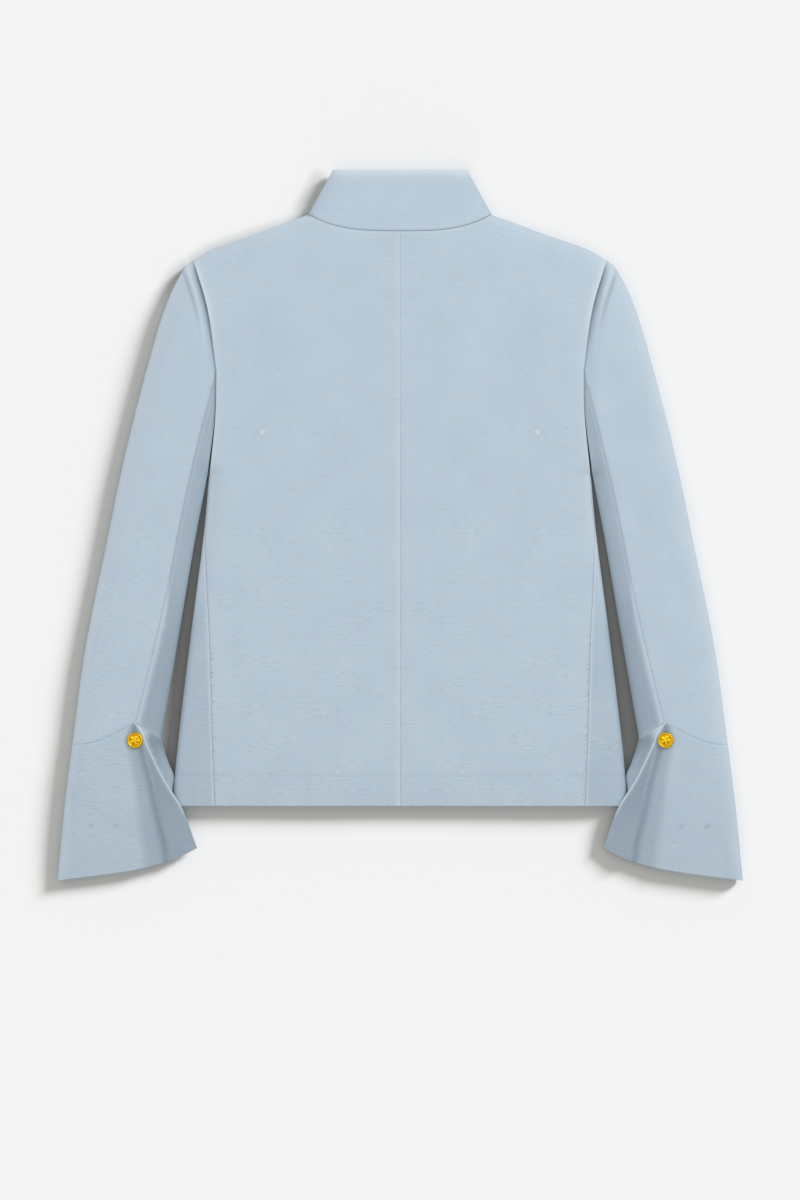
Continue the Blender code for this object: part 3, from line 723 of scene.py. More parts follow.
def body_top(place):
    """Points on the back, over plan points."""
    fold = FOLD + 0.5 * SEAM_GAP
    rise = crown(place[..., 1]) - fold
    return over(place, fold + rise * fold_share(place, FOLD_SPREAD * rise))


def body_under(place):
    """Points on the underside of the body, over plan points."""
    fold = FOLD - 0.5 * SEAM_GAP
    return over(place, fold * (1.0 - fold_share(place, UNDER_SPREAD)))


def underarm_up(inset):
    """Level of the armhole underneath, from the underarm to the front notch."""
    full = UNDERARM.across - FRONT_NOTCH.across
    rise = (FRONT_NOTCH.up - UNDERARM.up) * (inset / full) ** (1.0 / UNDERARM_SCOOP)
    return UNDERARM.up + rise


def sleeve_armhole_under(share):
    """Plan curve of the sleeve's armhole edge underneath, from the underarm to the front notch."""
    share = np.asarray(share, dtype=float)
    run = np.array(FRONT_NOTCH) - np.array(SLEEVE_UNDERARM)
    return np.array(SLEEVE_UNDERARM) + run * np.stack((share ** UNDERARM_SCOOP, share), axis=-1)


def side_back_seam(share):
    """Plan curve of the side-back seam, from the hem to the underarm."""
    up = HEM + np.asarray(share) * (UNDERARM.up - HEM)
    return np.stack((half_width(up) - back_in(up), up), axis=-1)


side_front_seam = line(np.array(FRONT_SEAM_HEM), np.array(FRONT_NOTCH))


def shoulder(share):
    """Plan curve of the shoulder seam, from the neck point to the shoulder tip."""
    across = NECK_POINT.across + (SHOULDER_TIP.across - NECK_POINT.across) * np.asarray(share)
    return np.stack((across, shoulder_up(across)), axis=-1)


def scooped(half, low, high, scoop):
    """Plan curve of a neck edge, from the centre to its side."""

    def point_at(share):
        share = np.asarray(share, dtype=float)
        return np.stack((half * share, low + (high - low) * share ** scoop), axis=-1)

    return point_at


back_neckline = scooped(NECK_POINT.across, BACK_NECK, NECK_POINT.up, BACK_NECK_SCOOP)
front_neckline = scooped(NECK_POINT.across, FRONT_NECK, NECK_POINT.up, FRONT_NECK_SCOOP)
collar_front_edge = scooped(COLLAR_TOP_HALF, COLLAR_FRONT_TOP, COLLAR_TOP, FRONT_NECK_SCOOP)

OUTER_LINE = samples(sleeve_outer)
INNER_LINE = samples(sleeve_inner)
ARMHOLE_LINE = np.concatenate((samples(back_armhole_upper), samples(back_armhole_lower)[1:]))
HINDARM_LINE = samples(hindarm)
SIDE_SEAM_LINE = samples(side_back_seam)
NECK_LINE = samples(back_neckline)
SHOULDER_LINE = samples(shoulder)
CUFF_SEAM_LINE = samples(cuff_seam)
CUFF_OUTER_LINE = samples(cuff_outer)
CUFF_FOLD_LINE = samples(cuff_inner_fold)
CUFF_VENT_LINE = samples(cuff_vent)
FACET_LINE = samples(path(FACET_ROWS))
WRIST_LINE = np.array((VENT_HEAD, WRIST_INNER))
COLLAR_LINE = np.array((NECK_POINT, (COLLAR_TOP_HALF, COLLAR_TOP)))


def spans(*surfaces):
    """One surface from several that follow each other across in equal shares, with its corners."""
    count = len(surfaces)

    def point_at(across, along):
        index = np.minimum((across * count).astype(int), count - 1)
        points = np.zeros(across.shape + (3,))
        for number, surface in enumerate(surfaces):
            chosen = index == number
            points[chosen] = surface(across[chosen] * count - number, along[chosen])
        return points

    return point_at, ([number / count for number in range(count + 1)], (0.0, 1.0))


def back_surface():
    """Back panel, with the shares where its edges turn a corner."""
    body_border = (UNDERARM.up - HEM) / (SHOULDER_TIP.up - HEM)
    hindarm_border = (HINDARM_NOTCH.up - HEM) / (SHOULDER_TIP.up - HEM)
    neck_border = NECK_POINT.across / SHOULDER_TIP.across
    armhole_border = (hindarm_border - body_border) / (1.0 - body_border)
    armhole = joined(backwards(back_armhole_lower), backwards(back_armhole_upper), armhole_border)
    centre = np.array((0.0, HEM))
    plan = patch(
        line(centre, side_back_seam(0.0)),
        joined(back_neckline, shoulder, neck_border),
        line(centre, back_neckline(0.0)),
        joined(side_back_seam, armhole, body_border),
    )
    corners = ((0.0, neck_border, 1.0), (0.0, body_border, hindarm_border, 1.0))
    return lambda u, v: body_top(plan(u, v)), corners


def side_point(along, inset, height, top):
    """Points of the side panel at insets from the fold, on rows that end at the top level."""
    base = HEM + along * (UNDERARM.up - HEM)
    up = HEM + along * (top - UNDERARM_EASE - HEM)
    return np.stack((half_width(base) - inset, up, height + np.zeros_like(up)), axis=-1)


def side_top(across, along):
    """Side panel on top, from the side-back seam to the fold."""
    base = HEM + along * (UNDERARM.up - HEM)
    rise = crown(base) - FOLD
    spread = FOLD_SPREAD * rise
    start = np.arccos(1.0 - np.minimum(1.0, back_in(base) / spread))
    angle = start * (1.0 - across)
    flat = np.maximum(0.0, back_in(base) - spread) * np.maximum(0.0, 1.0 - 2.0 * across)
    inset = flat + spread * (1.0 - np.cos(angle))
    return side_point(along, inset, FOLD + rise * np.sin(angle), UNDERARM.up)


def side_turn(across, along):
    """Side panel round the fold underneath."""
    angle = 0.5 * math.pi * across
    inset = UNDER_SPREAD * (1.0 - np.cos(angle))
    return side_point(along, inset, FOLD * (1.0 - np.sin(angle)), underarm_up(inset))


def side_under(across, along):
    """Side panel underneath, from the fold to the side-front seam."""
    base = HEM + along * (UNDERARM.up - HEM)
    full = half_width(base) - side_front_seam(along)[..., 0]
    inset = UNDER_SPREAD + (full - UNDER_SPREAD) * across
    notch = UNDERARM.across - FRONT_NOTCH.across
    top = underarm_up(UNDER_SPREAD + (notch - UNDER_SPREAD) * across)
    return side_point(along, inset, 0.0, top)


def side_surface():
    """Side panel, wrapped round the side fold."""
    return spans(side_top, side_turn, side_under)


def front_surface():
    """Front panel underneath, from the centre front to the side-front seam and armhole."""
    notch_border = (FRONT_NOTCH.up - HEM) / (SHOULDER_TIP.up - HEM)
    neck_border = NECK_POINT.across / SHOULDER_TIP.across
    centre = np.array((0.0, HEM))
    plan = patch(
        line(centre, side_front_seam(0.0)),
        joined(front_neckline, shoulder, neck_border),
        line(centre, front_neckline(0.0)),
        joined(side_front_seam, backwards(front_armhole_upper), notch_border),
    )
    corners = ((0.0, neck_border, 1.0), (0.0, notch_border, 1.0))
    return lambda u, v: body_under(plan(u, v)), corners


def sleeve_top(place, along):
    """Points on the sleeve's top, over plan points at shares along the sleeve."""
    from_armhole = distance(ARMHOLE_LINE, place)
    height = sleeve_height(along) - CAP_DIP * (1.0 - soft(from_armhole / CAP_REACH))
    rise = height - FOLD
    share = rounded(distance(OUTER_LINE, place), FOLD_SPREAD * rise)
    share = share * rounded(distance(INNER_LINE, place), HINDARM_SPREAD)
    return over(place, FOLD + rise * share)


def sleeve_under(place):
    """Points on the sleeve's underside, over plan points."""
    share = rounded(distance(OUTER_LINE, place), UNDER_SPREAD)
    share = share * rounded(distance(INNER_LINE, place), UNDER_SPREAD)
    return over(place, FOLD * (1.0 - share))


def upper_sleeve_surface():
    """Upper sleeve, from the hindarm seam over the outer fold to the forearm seam."""
    wrist_under = line(cuff_seam(0.0), forearm(1.0))
    top = patch(back_armhole_upper, cuff_seam, sleeve_outer, hindarm)
    under = patch(front_armhole_upper, wrist_under, sleeve_outer, forearm)
    return spans(
        lambda u, v: sleeve_top(top(1.0 - u, v), v),
        lambda u, v: sleeve_under(under(u, v)),
    )


def under_sleeve_surface():
    """Under sleeve, from the hindarm seam over the inner fold to the forearm seam."""
    wrist = sleeve_inner(1.0)
    top = patch(sleeve_armhole_lower, line(hindarm(1.0), wrist), hindarm, sleeve_inner)
    under = patch(sleeve_armhole_under, line(wrist, forearm(1.0)), sleeve_inner, forearm)
    return spans(
        lambda u, v: sleeve_top(top(u, v), v),
        lambda u, v: sleeve_under(under(u, v)),
    )


def cuff_fall(along):
    """How far the cuff has fallen from its wrist height to its hem height, at shares along it."""
    share = np.clip((along - CUFF_FALL_START) / (1.0 - CUFF_FALL_START), 0.0, 1.0)
    return share ** CUFF_FALL_POWER


def cuff_flap(place, along):
    """Points on the cuff's upper flap, bent down along the vent."""
    rise = CUFF_HEIGHT + (CUFF_HEM_HEIGHT - CUFF_HEIGHT) * cuff_fall(along) - FOLD
    height = FOLD + rise * rounded(distance(CUFF_OUTER_LINE, place), FOLD_SPREAD * rise)
    facet = 1.0 - soft(distance(CUFF_VENT_LINE, place) / blend(FACET_WIDTHS, along))
    return over(place, height - FACET_DROP * facet * soft(along / FACET_START))


def cuff_under(place):
    """Points on the cuff's underside."""
    share = rounded(distance(CUFF_OUTER_LINE, place), UNDER_SPREAD)
    share = share * rounded(distance(CUFF_FOLD_LINE, place), UNDER_SPREAD)
    return over(place, FOLD * (1.0 - share))


def cuff_tab(place, along):
    """Points on the tab that turns over the inner fold and falls from the wrist under the flap."""
    start = 1.0 - soft(along / TAB_RAMP)
    rise = TAB_HEIGHT + (TAB_WRIST_HEIGHT - TAB_HEIGHT) * start - FOLD
    rise = rise + (TAB_HEM_HEIGHT - TAB_HEIGHT) * cuff_fall(along)
    spread = TAB_SPREAD + (HINDARM_SPREAD - TAB_SPREAD) * start
    return over(place, FOLD + rise * rounded(distance(CUFF_FOLD_LINE, place), spread))


def cuff_surface():
    """Cuff from the vent edge over the outer fold, underneath and over the inner fold."""
    wrist = cuff_inner_fold(0.0)
    flap = patch(cuff_seam, cuff_hem, cuff_outer, cuff_vent)
    under = patch(line(cuff_seam(0.0), wrist), cuff_under_hem, cuff_outer, cuff_inner_fold)
    tab = patch(
        line(wrist, cuff_tab_edge(0.0)),
        line(cuff_inner_fold(1.0), cuff_tab_edge(1.0)),
        cuff_inner_fold,
        cuff_tab_edge,
    )
    return spans(
        lambda u, v: cuff_flap(flap(1.0 - u, v), v),
        lambda u, v: cuff_under(under(u, v)),
        lambda u, v: cuff_tab(tab(u, v), v),
    )


def collar_half_width(along):
    """Half width of the laid collar at shares of its height."""
    return NECK_POINT.across + (COLLAR_TOP_HALF - NECK_POINT.across) * along


def collar_back(across, along):
    """Points on the back of the collar, from the left fold to the right one."""
    side = 2.0 * across - 1.0
    seam_up = back_neckline(np.abs(side))[..., 1]
    up = seam_up + (COLLAR_TOP - seam_up) * along
    half = collar_half_width(along)
    rise = blend(COLLAR_HEIGHTS, along) - FOLD
    share = rounded(half * (1.0 - np.abs(side)), FOLD_SPREAD * rise)
    return np.stack((half * side, up, FOLD + rise * share), axis=-1)


def collar_front(across, along):
    """Points on the right front of the collar underneath, from the side fold to the centre."""
    seam = front_neckline(1.0 - across)
    place = seam + (collar_front_edge(1.0 - across) - seam) * along[..., None]
    inset = collar_half_width(along) - place[..., 0]
    return over(place, FOLD * (1.0 - rounded(inset, UNDER_SPREAD)))


def collar_surface():
    """Stand collar in one band, from the centre front round the neck and back to it."""
    return spans(
        lambda u, v: collar_front(1.0 - u, v) * (-1, 1, 1),
        collar_back,
        collar_front,
    )


def groove(gap, seam, strength=1.0):
    """Offset and tone of a seam, at gaps from it."""
    profile = np.exp(-((gap / seam.width) ** 2)) * strength
    return np.stack((-seam.depth * profile, seam.tone * profile))


def creased(places, rows):
    """Offset and tone of the creases in a table, at plan places."""
    total = np.zeros((2,) + places.shape[:-1])
    for row in rows:
        start = np.array((row.across, row.up))
        run = np.array((row.to_across, row.to_up)) - start
        length = np.linalg.norm(run)
        share = ((places - start) @ run) / length ** 2
        gap = ((places - start) @ np.array((-run[1], run[0]))) / length
        taper = soft(share / CREASE_TAPER) * soft((1.0 - share) / CREASE_TAPER)
        profile = np.exp(-((gap / row.width) ** 2)) * taper
        total += np.stack((-row.depth * profile, row.tone * profile))
    return total


def slack(places):
    """Offset of the long shallow waves, at plan places."""
    height = np.zeros(places.shape[:-1])
    for wave in WAVES:
        height += wave.height * np.sin(places @ np.array((wave.across, wave.up)) + wave.phase)
    return np.stack((height, np.zeros_like(height)))


def body_edge(place):
    """Painted highlight along the side fold above the waist."""
    up = place[..., 1]
    inset = side_reach(up) - place[..., 0]
    return groove(inset, SIDE_EDGE, 1.0 - fade(up, SIDE_EDGE_LEVELS))


def hem_relief(up):
    """Hem line and the shade under it."""
    return groove(up - HEM - HEM_TURN, HEM_LINE) + groove(up - HEM, HEM_SHADE)


def cap_strength(place):
    """How full the sleeve head is along the armhole, and the share of the way down it."""
    drop = (SHOULDER_TIP.up - place[..., 1]) / (SHOULDER_TIP.up - HINDARM_NOTCH.up)
    return fade(drop, CAP_FILLS) * (1.0 - fade(drop, CAP_FADES)), drop


def back_relief(place, signed):
    """Seams, hem line and creases of a back panel, with painted shade and highlight beside them and
    painted highlight along its edges.
    """
    across = place[..., 0]
    up = place[..., 1]
    from_side = distance(SIDE_SEAM_LINE, place)
    total = creased(signed, BODY_CREASES) + slack(signed)
    centre = np.where(signed[..., 0] < 0.0, groove(across, CENTRE_HIGH), groove(across, CENTRE_LOW))
    total += centre * (1.0 + fade(up, CENTRE_GROWS))
    total += groove(from_side, SIDE_LOW) + body_edge(place)
    armhole = np.maximum(ARMHOLE_EDGE_LEAST, cap_strength(place)[0])
    total += groove(distance(ARMHOLE_LINE, place), ARMHOLE_EDGE, armhole)
    total += groove(distance(NECK_LINE, place), NECK_HIGH)
    total += groove(distance(SHOULDER_LINE, place), SHOULDER_EDGE)
    return total + hem_relief(up)


def side_relief(place, signed):
    """Seam, hem line and creases of a side panel, with painted shade and highlight beside them and painted
    shade over the whole panel.
    """
    total = creased(signed, BODY_CREASES) + SIDE_SLACK * slack(signed)
    total += groove(distance(SIDE_SEAM_LINE, place), SIDE_HIGH) + body_edge(place)
    total += hem_relief(place[..., 1])
    total[1] += SIDE_TONE
    return total


def cap_relief(place, signed):
    """Rolled sleeve head along the armhole, and the creases of a sleeve, with painted shade in the gutter
    and hollow and painted highlight on the roll and the outer edge.
    """
    gap = distance(ARMHOLE_LINE, place)
    strength, drop = cap_strength(place)
    total = creased(signed, SLEEVE_CREASES) + SLEEVE_SLACK * slack(signed)
    total += groove(gap, CAP_GUTTER, strength)
    total += groove(gap, CAP_SEAM)
    total += groove(distance(OUTER_LINE, place), OUTER_EDGE)
    total += groove(gap - CAP_ROLL_PLACE, CAP_ROLL, strength)
    total += groove(gap - CAP_HOLLOW_PLACE + CAP_HOLLOW_DRIFT * drop, CAP_HOLLOW, strength ** 2)
    return total


def sleeve_relief(place, signed):
    """Relief of the upper sleeve, with painted shade beside its hindarm and cuff seams."""
    total = cap_relief(place, signed)
    total += groove(distance(HINDARM_LINE, place), HINDARM_LOW)
    total += groove(distance(CUFF_SEAM_LINE, place), CUFF_LOW)
    return total


def strip_relief(place, signed):
    """Relief of the under sleeve, with the painted shade that it lies in beside the hindarm seam."""
    gap = distance(HINDARM_LINE, place)
    levels, tones, reaches = (Span(*pair) for pair in zip(STRIP_HIGH, STRIP_LOW))
    low = fade(place[..., 1], levels)
    total = cap_relief(place, signed)
    total += groove(gap, HINDARM_LOW)
    total += groove(gap - HINDARM_RIDGE_PLACE, HINDARM_RIDGE)
    total += groove(distance(WRIST_LINE, place), WRIST_SEAM)
    total[1] += blend(tones, low) * soft(gap / blend(reaches, low))
    return total


def line_across(points, up):
    """Place across of a falling line of points at the given levels."""
    return np.interp(-up, -points[:, 1], points[:, 0])


def cuff_relief(place, signed):
    """Seam, pressed vent edge, valley, facet and creases of a cuff, with painted highlight on the vent
    edge, painted shade in the valley and on the facet, and painted shade on its tab.
    """
    across = place[..., 0]
    up = place[..., 1]
    from_crease = distance(FACET_LINE, place)
    from_vent = distance(CUFF_VENT_LINE, place)
    outside = soft(0.5 + (across - line_across(FACET_LINE, up)) / FACET_TURN)
    on_tab = across < line_across(CUFF_VENT_LINE, up) - EDGE_ROUND
    grown = fade(up, VALLEY_GROWS)
    total = creased(signed, CUFF_CREASES) + SLEEVE_SLACK * slack(signed)
    total += groove(distance(CUFF_SEAM_LINE, place), CUFF_HIGH)
    total += groove(distance(CUFF_OUTER_LINE, place), OUTER_EDGE)
    total += groove(from_vent, VENT_EDGE, 1.0 - fade(up, VENT_FADE))
    along = np.clip((VENT_HEAD.up - up) / (VENT_HEAD.up - FLAP_TIP.up), 0.0, 1.0)
    plateau = 1.0 - fade(from_crease / blend(VALLEY_WIDTHS, along), VALLEY_SHARES)
    plateau = plateau * outside * grown
    total += np.stack((-VALLEY_DEPTH * plateau, VALLEY_TONE * plateau))
    total += groove(from_crease - VALLEY_LINE_PLACE, VALLEY_LINE, outside * grown)
    total += groove(from_crease, VALLEY_CREASE, (1.0 - fade(up, CREASE_FADE)) * grown * (1.0 - outside))
    facet = blend(FACET_TONES, fade(up, FACET_LEVELS))
    total[1] += CUFF_TONE + facet * (1.0 - outside) * grown
    tab_up = [-row.up for row in TAB_ROWS]
    tab_tone = np.interp(-up, tab_up, [row.tone for row in TAB_ROWS])
    tab_reach = np.interp(-up, tab_up, [row.reach for row in TAB_ROWS])
    tab_tone = tab_tone * soft(from_vent / tab_reach)
    tab_tone = tab_tone + groove(distance(WRIST_LINE, place), WRIST_SEAM)[1]
    total[1] = np.where(on_tab, tab_tone, total[1])
    total[0] = np.where(on_tab, SLEEVE_SLACK * slack(signed)[0], total[0])
    return total


def collar_relief(place, signed):
    """Neck seam and pressed top edge of the collar, with painted shade at the seam and painted highlight
    on the edge.
    """
    total = COLLAR_SLACK * slack(signed)
    right = np.stack((np.abs(signed[..., 0]), signed[..., 1]), axis=-1)
    total += groove(distance(NECK_LINE, right), NECK_LOW)
    total += groove(COLLAR_TOP - place[..., 1], COLLAR_EDGE)
    return total


def plain_relief(place, signed):
    """No seams of its own on the upper side."""
    return FRONT_SLACK * slack(signed)


def between_folds(start, end):
    """Shares between two corners, close together at both."""
    turn = np.linspace(0.0, math.pi, DENSE_CELLS + 1)
    return start + (end - start) * (0.5 - 0.5 * np.cos(turn))


def dense_stations(corners):
    """Shares that run through all the corners, and the index of each corner."""
    shares = [np.array(corners[:1])]
    for start, end in zip(corners, corners[1:]):
        shares.append(between_folds(start, end)[1:])
    marks = [number * DENSE_CELLS for number in range(len(corners))]
    return np.concatenate(shares), marks


def even_steps(length, count, starts_seam, ends_seam):
    """Even steps along a length, with closer ones beside a seam at either end."""
    start = EDGE_ROUND if starts_seam else 0.0
    end = length - (EDGE_ROUND if ends_seam else 0.0)
    step = (end - start) / count
    close = [np.linspace(start, end, count + 1)]
    if starts_seam:
        close.append(start + EDGE_SHARES * step)
    if ends_seam:
        close.append(end - EDGE_SHARES * step)
    return np.sort(np.concatenate(close))


def evened(points, marks, cell):
    """Rows of points moved to even steps along each row, with the marked corners kept."""
    parts = []
    last = len(marks) - 2
    for number, (first, final) in enumerate(zip(marks, marks[1:])):
        run = points[:, first:final + 1]
        steps = np.linalg.norm(np.diff(run, axis=1), axis=2)
        reached = np.concatenate((np.zeros((len(run), 1)), np.cumsum(steps, axis=1)), axis=1)
        count = max(2, round(float(reached[:, -1].mean()) / cell))
        rows = []
        for places, along in zip(run, reached):
            wanted = even_steps(along[-1], count, number == 0, number == last)
            rows.append(np.stack([np.interp(wanted, along, axis) for axis in places.T], axis=-1))
        part = np.array(rows)
        parts.append(part if number == 0 else part[:, 1:])
    return np.concatenate(parts, axis=1)


def even_grid(surface, corners, cell):
    """Grid of points over a surface in steps of about one cell, just inside its seams."""
    across, across_marks = dense_stations(corners[0])
    along, along_marks = dense_stations(corners[1])
    u, v = np.meshgrid(across, along)
    points = evened(surface(u, v), across_marks, cell)
    return evened(points.swapaxes(0, 1), along_marks, cell).swapaxes(0, 1)


def grid_normals(points):
    """Unit normals of a grid of points."""
    run_along, run_across = np.gradient(points, axis=(0, 1))
    normals = np.cross(run_across, run_along)
    return normals / np.linalg.norm(normals, axis=-1, keepdims=True)


def grid_quads(number):
    """Faces between the numbered points of a grid."""
    corners = (number[:-1, :-1], number[:-1, 1:], number[1:, 1:], number[1:, :-1])
    return np.stack(corners, axis=-1).reshape(-1, 4)


def border_of(rows, columns):
    """Indices round the border of a grid."""
    low = [(0, index) for index in range(columns)]
    right = [(index, columns - 1) for index in range(1, rows)]
    high = [(rows - 1, index) for index in range(columns - 2, -1, -1)]
    left = [(index, 0) for index in range(rows - 2, 0, -1)]
    return np.array(low + right + high + left).T


def wall_mesh(name, outer, normals, wall, turned):
    """Closed cloth wall under a grid of outer points, with a rounded rim."""
    rows, columns = outer.shape[:2]
    inner = outer - normals * wall
    edge_row, edge_column = border_of(rows, columns)
    inside_row = np.clip(edge_row, 1, rows - 2)
    inside_column = np.clip(edge_column, 1, columns - 2)
    edge = outer[edge_row, edge_column]
    edge_normal = normals[edge_row, edge_column]
    outward = edge - outer[inside_row, inside_column]
    outward -= edge_normal * np.sum(outward * edge_normal, axis=1, keepdims=True)
    outward /= np.linalg.norm(outward, axis=1, keepdims=True)
    middle = edge - edge_normal * (0.5 * wall) + outward * EDGE_ROUND

    total = rows * columns
    number = np.arange(total).reshape(rows, columns)
    quads = grid_quads(number)
    top = number[edge_row, edge_column]
    ring = 2 * total + np.arange(len(top))
    next_top = np.roll(top, -1)
    next_ring = np.roll(ring, -1)
    upper_rim = np.stack((top, ring, next_ring, next_top), axis=-1)
    lower_rim = np.stack((ring, top + total, next_top + total, next_ring), axis=-1)
    faces = np.concatenate((quads, quads[:, ::-1] + total, upper_rim, lower_rim))
    if turned:
        faces = faces[:, ::-1]
    points = np.concatenate((outer.reshape(-1, 3), inner.reshape(-1, 3), middle)) * MM
    mesh = bpy.data.meshes.new(name)
    mesh.from_pydata(points.tolist(), [], faces.tolist())
    mesh.shade_smooth()
    return mesh, top


def set_cut_map(mesh, grid, top, grain):
    """UV map in metres along the weft and the warp, straight on the grain where the cloth is flat."""
    weft = grid @ np.array((math.cos(grain), math.sin(grain), 0.0))
    warp = grid @ np.array((-math.sin(grain), math.cos(grain), 0.0))
    height = grid[..., 2]
    across = np.hypot(np.diff(weft, axis=1), np.diff(height, axis=1))
    along = np.hypot(np.diff(warp, axis=0), np.diff(height, axis=0))
    along = along * math.copysign(1.0, float(np.diff(warp, axis=0).mean()))
    u = weft[:, :1] + np.concatenate((np.zeros_like(weft[:, :1]), np.cumsum(across, axis=1)), axis=1)
    v = warp[:1] + np.concatenate((np.zeros_like(warp[:1]), np.cumsum(along, axis=0)), axis=0)
    flat = np.stack((u, v), axis=-1).reshape(-1, 2) * MM
    by_vertex = np.concatenate((flat, flat, flat[top]))
    corner = np.zeros(len(mesh.loops), dtype=np.int32)
    mesh.loops.foreach_get("vertex_index", corner)
    mesh.uv_layers.new(name="cut").data.foreach_set("uv", by_vertex[corner].ravel())


def set_tone(mesh, tone, top):
    """Attribute of painted shade, which darkens the folds, seams and inside, and of painted highlight,
    which lightens pressed edges.
    """
    values = tone.ravel()
    inside = np.full(len(values), INSIDE_TONE)
    by_vertex = np.concatenate((values, inside, values[top]))
    layer = mesh.attributes.new("tone", "FLOAT", "POINT")
    layer.data.foreach_set("value", by_vertex.astype(np.float32))


def add_piece(context, name, mesh):
    """Finished piece that rides on the jacket."""
    piece = bpy.data.objects.new(name, mesh)
    context.scene.collection.objects.link(piece)
    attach(piece, "root")
    return piece


def lay_panel(context, node, made, facing, relief, hand=1, grain=0.0):
    """Make one cloth panel in place of its solid."""
    cloth = context.scene.jacket_cloth
    surface, corners = made
    grid = even_grid(surface, corners, cloth.cell / MM)
    signed_grid = grid * (hand, 1, 1)
    normals = grid_normals(signed_grid)
    probe_row = round(facing.along * (grid.shape[0] - 1))
    probe_column = round(facing.across * (grid.shape[1] - 1))
    side = math.copysign(1.0, normals[probe_row, probe_column, 2]) * facing.up
    normals = normals * side

    offset, tone = relief(grid[..., :2], signed_grid[..., :2])
    under_offset, under_tone = creased(signed_grid[..., :2], UNDERSIDE_CREASES)
    upper = soft(normals[..., 2] / UPPER_TILT)
    offset = offset * upper + np.minimum(under_offset, 0.0) * soft(-normals[..., 2] / UPPER_TILT)
    tone = tone * upper + under_tone * (1.0 - upper)
    outer = signed_grid + normals * offset[..., None]
    name = f"{node}_cloth"
    mesh, top = wall_mesh(name, outer, grid_normals(outer) * side, cloth.wall / MM, side < 0)
    set_cut_map(mesh, signed_grid, top, grain * hand)
    set_tone(mesh, tone, top)
    mesh.materials.append(cloth_material(cloth))
    piece = add_piece(context, name, mesh)
    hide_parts(node)
    return piece


def set_inputs(tree, node, inputs):
    """Give a node its inputs, which are values or sockets to link from."""
    for name, value in inputs.items():
        if isinstance(value, bpy.types.NodeSocket):
            tree.links.new(value, node.inputs[name])
        else:
            node.inputs[name].default_value = value


def add_node(tree, kind, inputs=None, **settings):
    """Node with its settings and its inputs."""
    node = tree.nodes.new(kind)
    for name, value in settings.items():
        setattr(node, name, value)
    set_inputs(tree, node, inputs or {})
    return node


def new_material(name):
    """Material, the tree of its nodes, and its shader."""
    material = bpy.data.materials.new(name)
    material.use_nodes = True
    return material, material.node_tree, material.node_tree.nodes["Principled BSDF"]


def opaque(colour):
    """Colour with full cover."""
    return (*colour, 1.0)


def streaks(tree, place, row):
    """Noise drawn out into streaks along the weft and the warp of the cut."""
    stretched = add_node(tree, "ShaderNodeMapping", {0: place, 3: (1 / row.weft, 1 / row.warp, 1.0)})
    settings = {
        "Vector": stretched.outputs[0],
        "Scale": 1.0,
        "Detail": row.detail,
        "Roughness": STREAK_ROUGHNESS,
    }
    return add_node(tree, "ShaderNodeTexNoise", settings).outputs[0]


def specks(tree, row):
    """Fine noise in the piece's own place."""
    place = add_node(tree, "ShaderNodeTexCoord").outputs["Object"]
    settings = {"Vector": place, "Scale": row.scale, "Detail": row.detail}
    return add_node(tree, "ShaderNodeTexNoise", settings).outputs[0]


def ranged(tree, value, ramp):
    """Value carried over from one range to another."""
    return add_node(tree, "ShaderNodeMapRange", dict(enumerate((value, *ramp)))).outputs[0]


def scaled(tree, value, low, high):
    """Noise around its middle, stretched to run from a low to a high value."""
    return ranged(tree, value, Ramp(*NOISE_MIDDLE, low, high))


def combined(tree, operation, values):
    """Values taken together one after the other by a math operation."""
    total = values[0]
    for value in values[1:]:
        total = add_node(tree, "ShaderNodeMath", {0: total, 1: value}, operation=operation).outputs[0]
    return total


def summed(tree, *values):
    """Sum of several values."""
    return combined(tree, "ADD", values)


def multiplied(tree, *values):
    """Product of several values."""
    return combined(tree, "MULTIPLY", values)


def knotted(tree, noise):
    """Short thick places of a streak, above 0, and thin ones, below 0, with nothing between them."""
    return summed(tree, ranged(tree, noise, THICK_PLACES), ranged(tree, noise, THIN_PLACES))


def mixed(tree, factor, first, second):
    """Colour between two, by a factor."""
    inputs = {0: factor, 6: first, 7: second}
    return add_node(tree, "ShaderNodeMix", inputs, data_type="RGBA").outputs[2]


def attribute(tree, name):
    """Value that a mesh's points carry."""
    return add_node(tree, "ShaderNodeAttribute", attribute_name=name).outputs["Fac"]


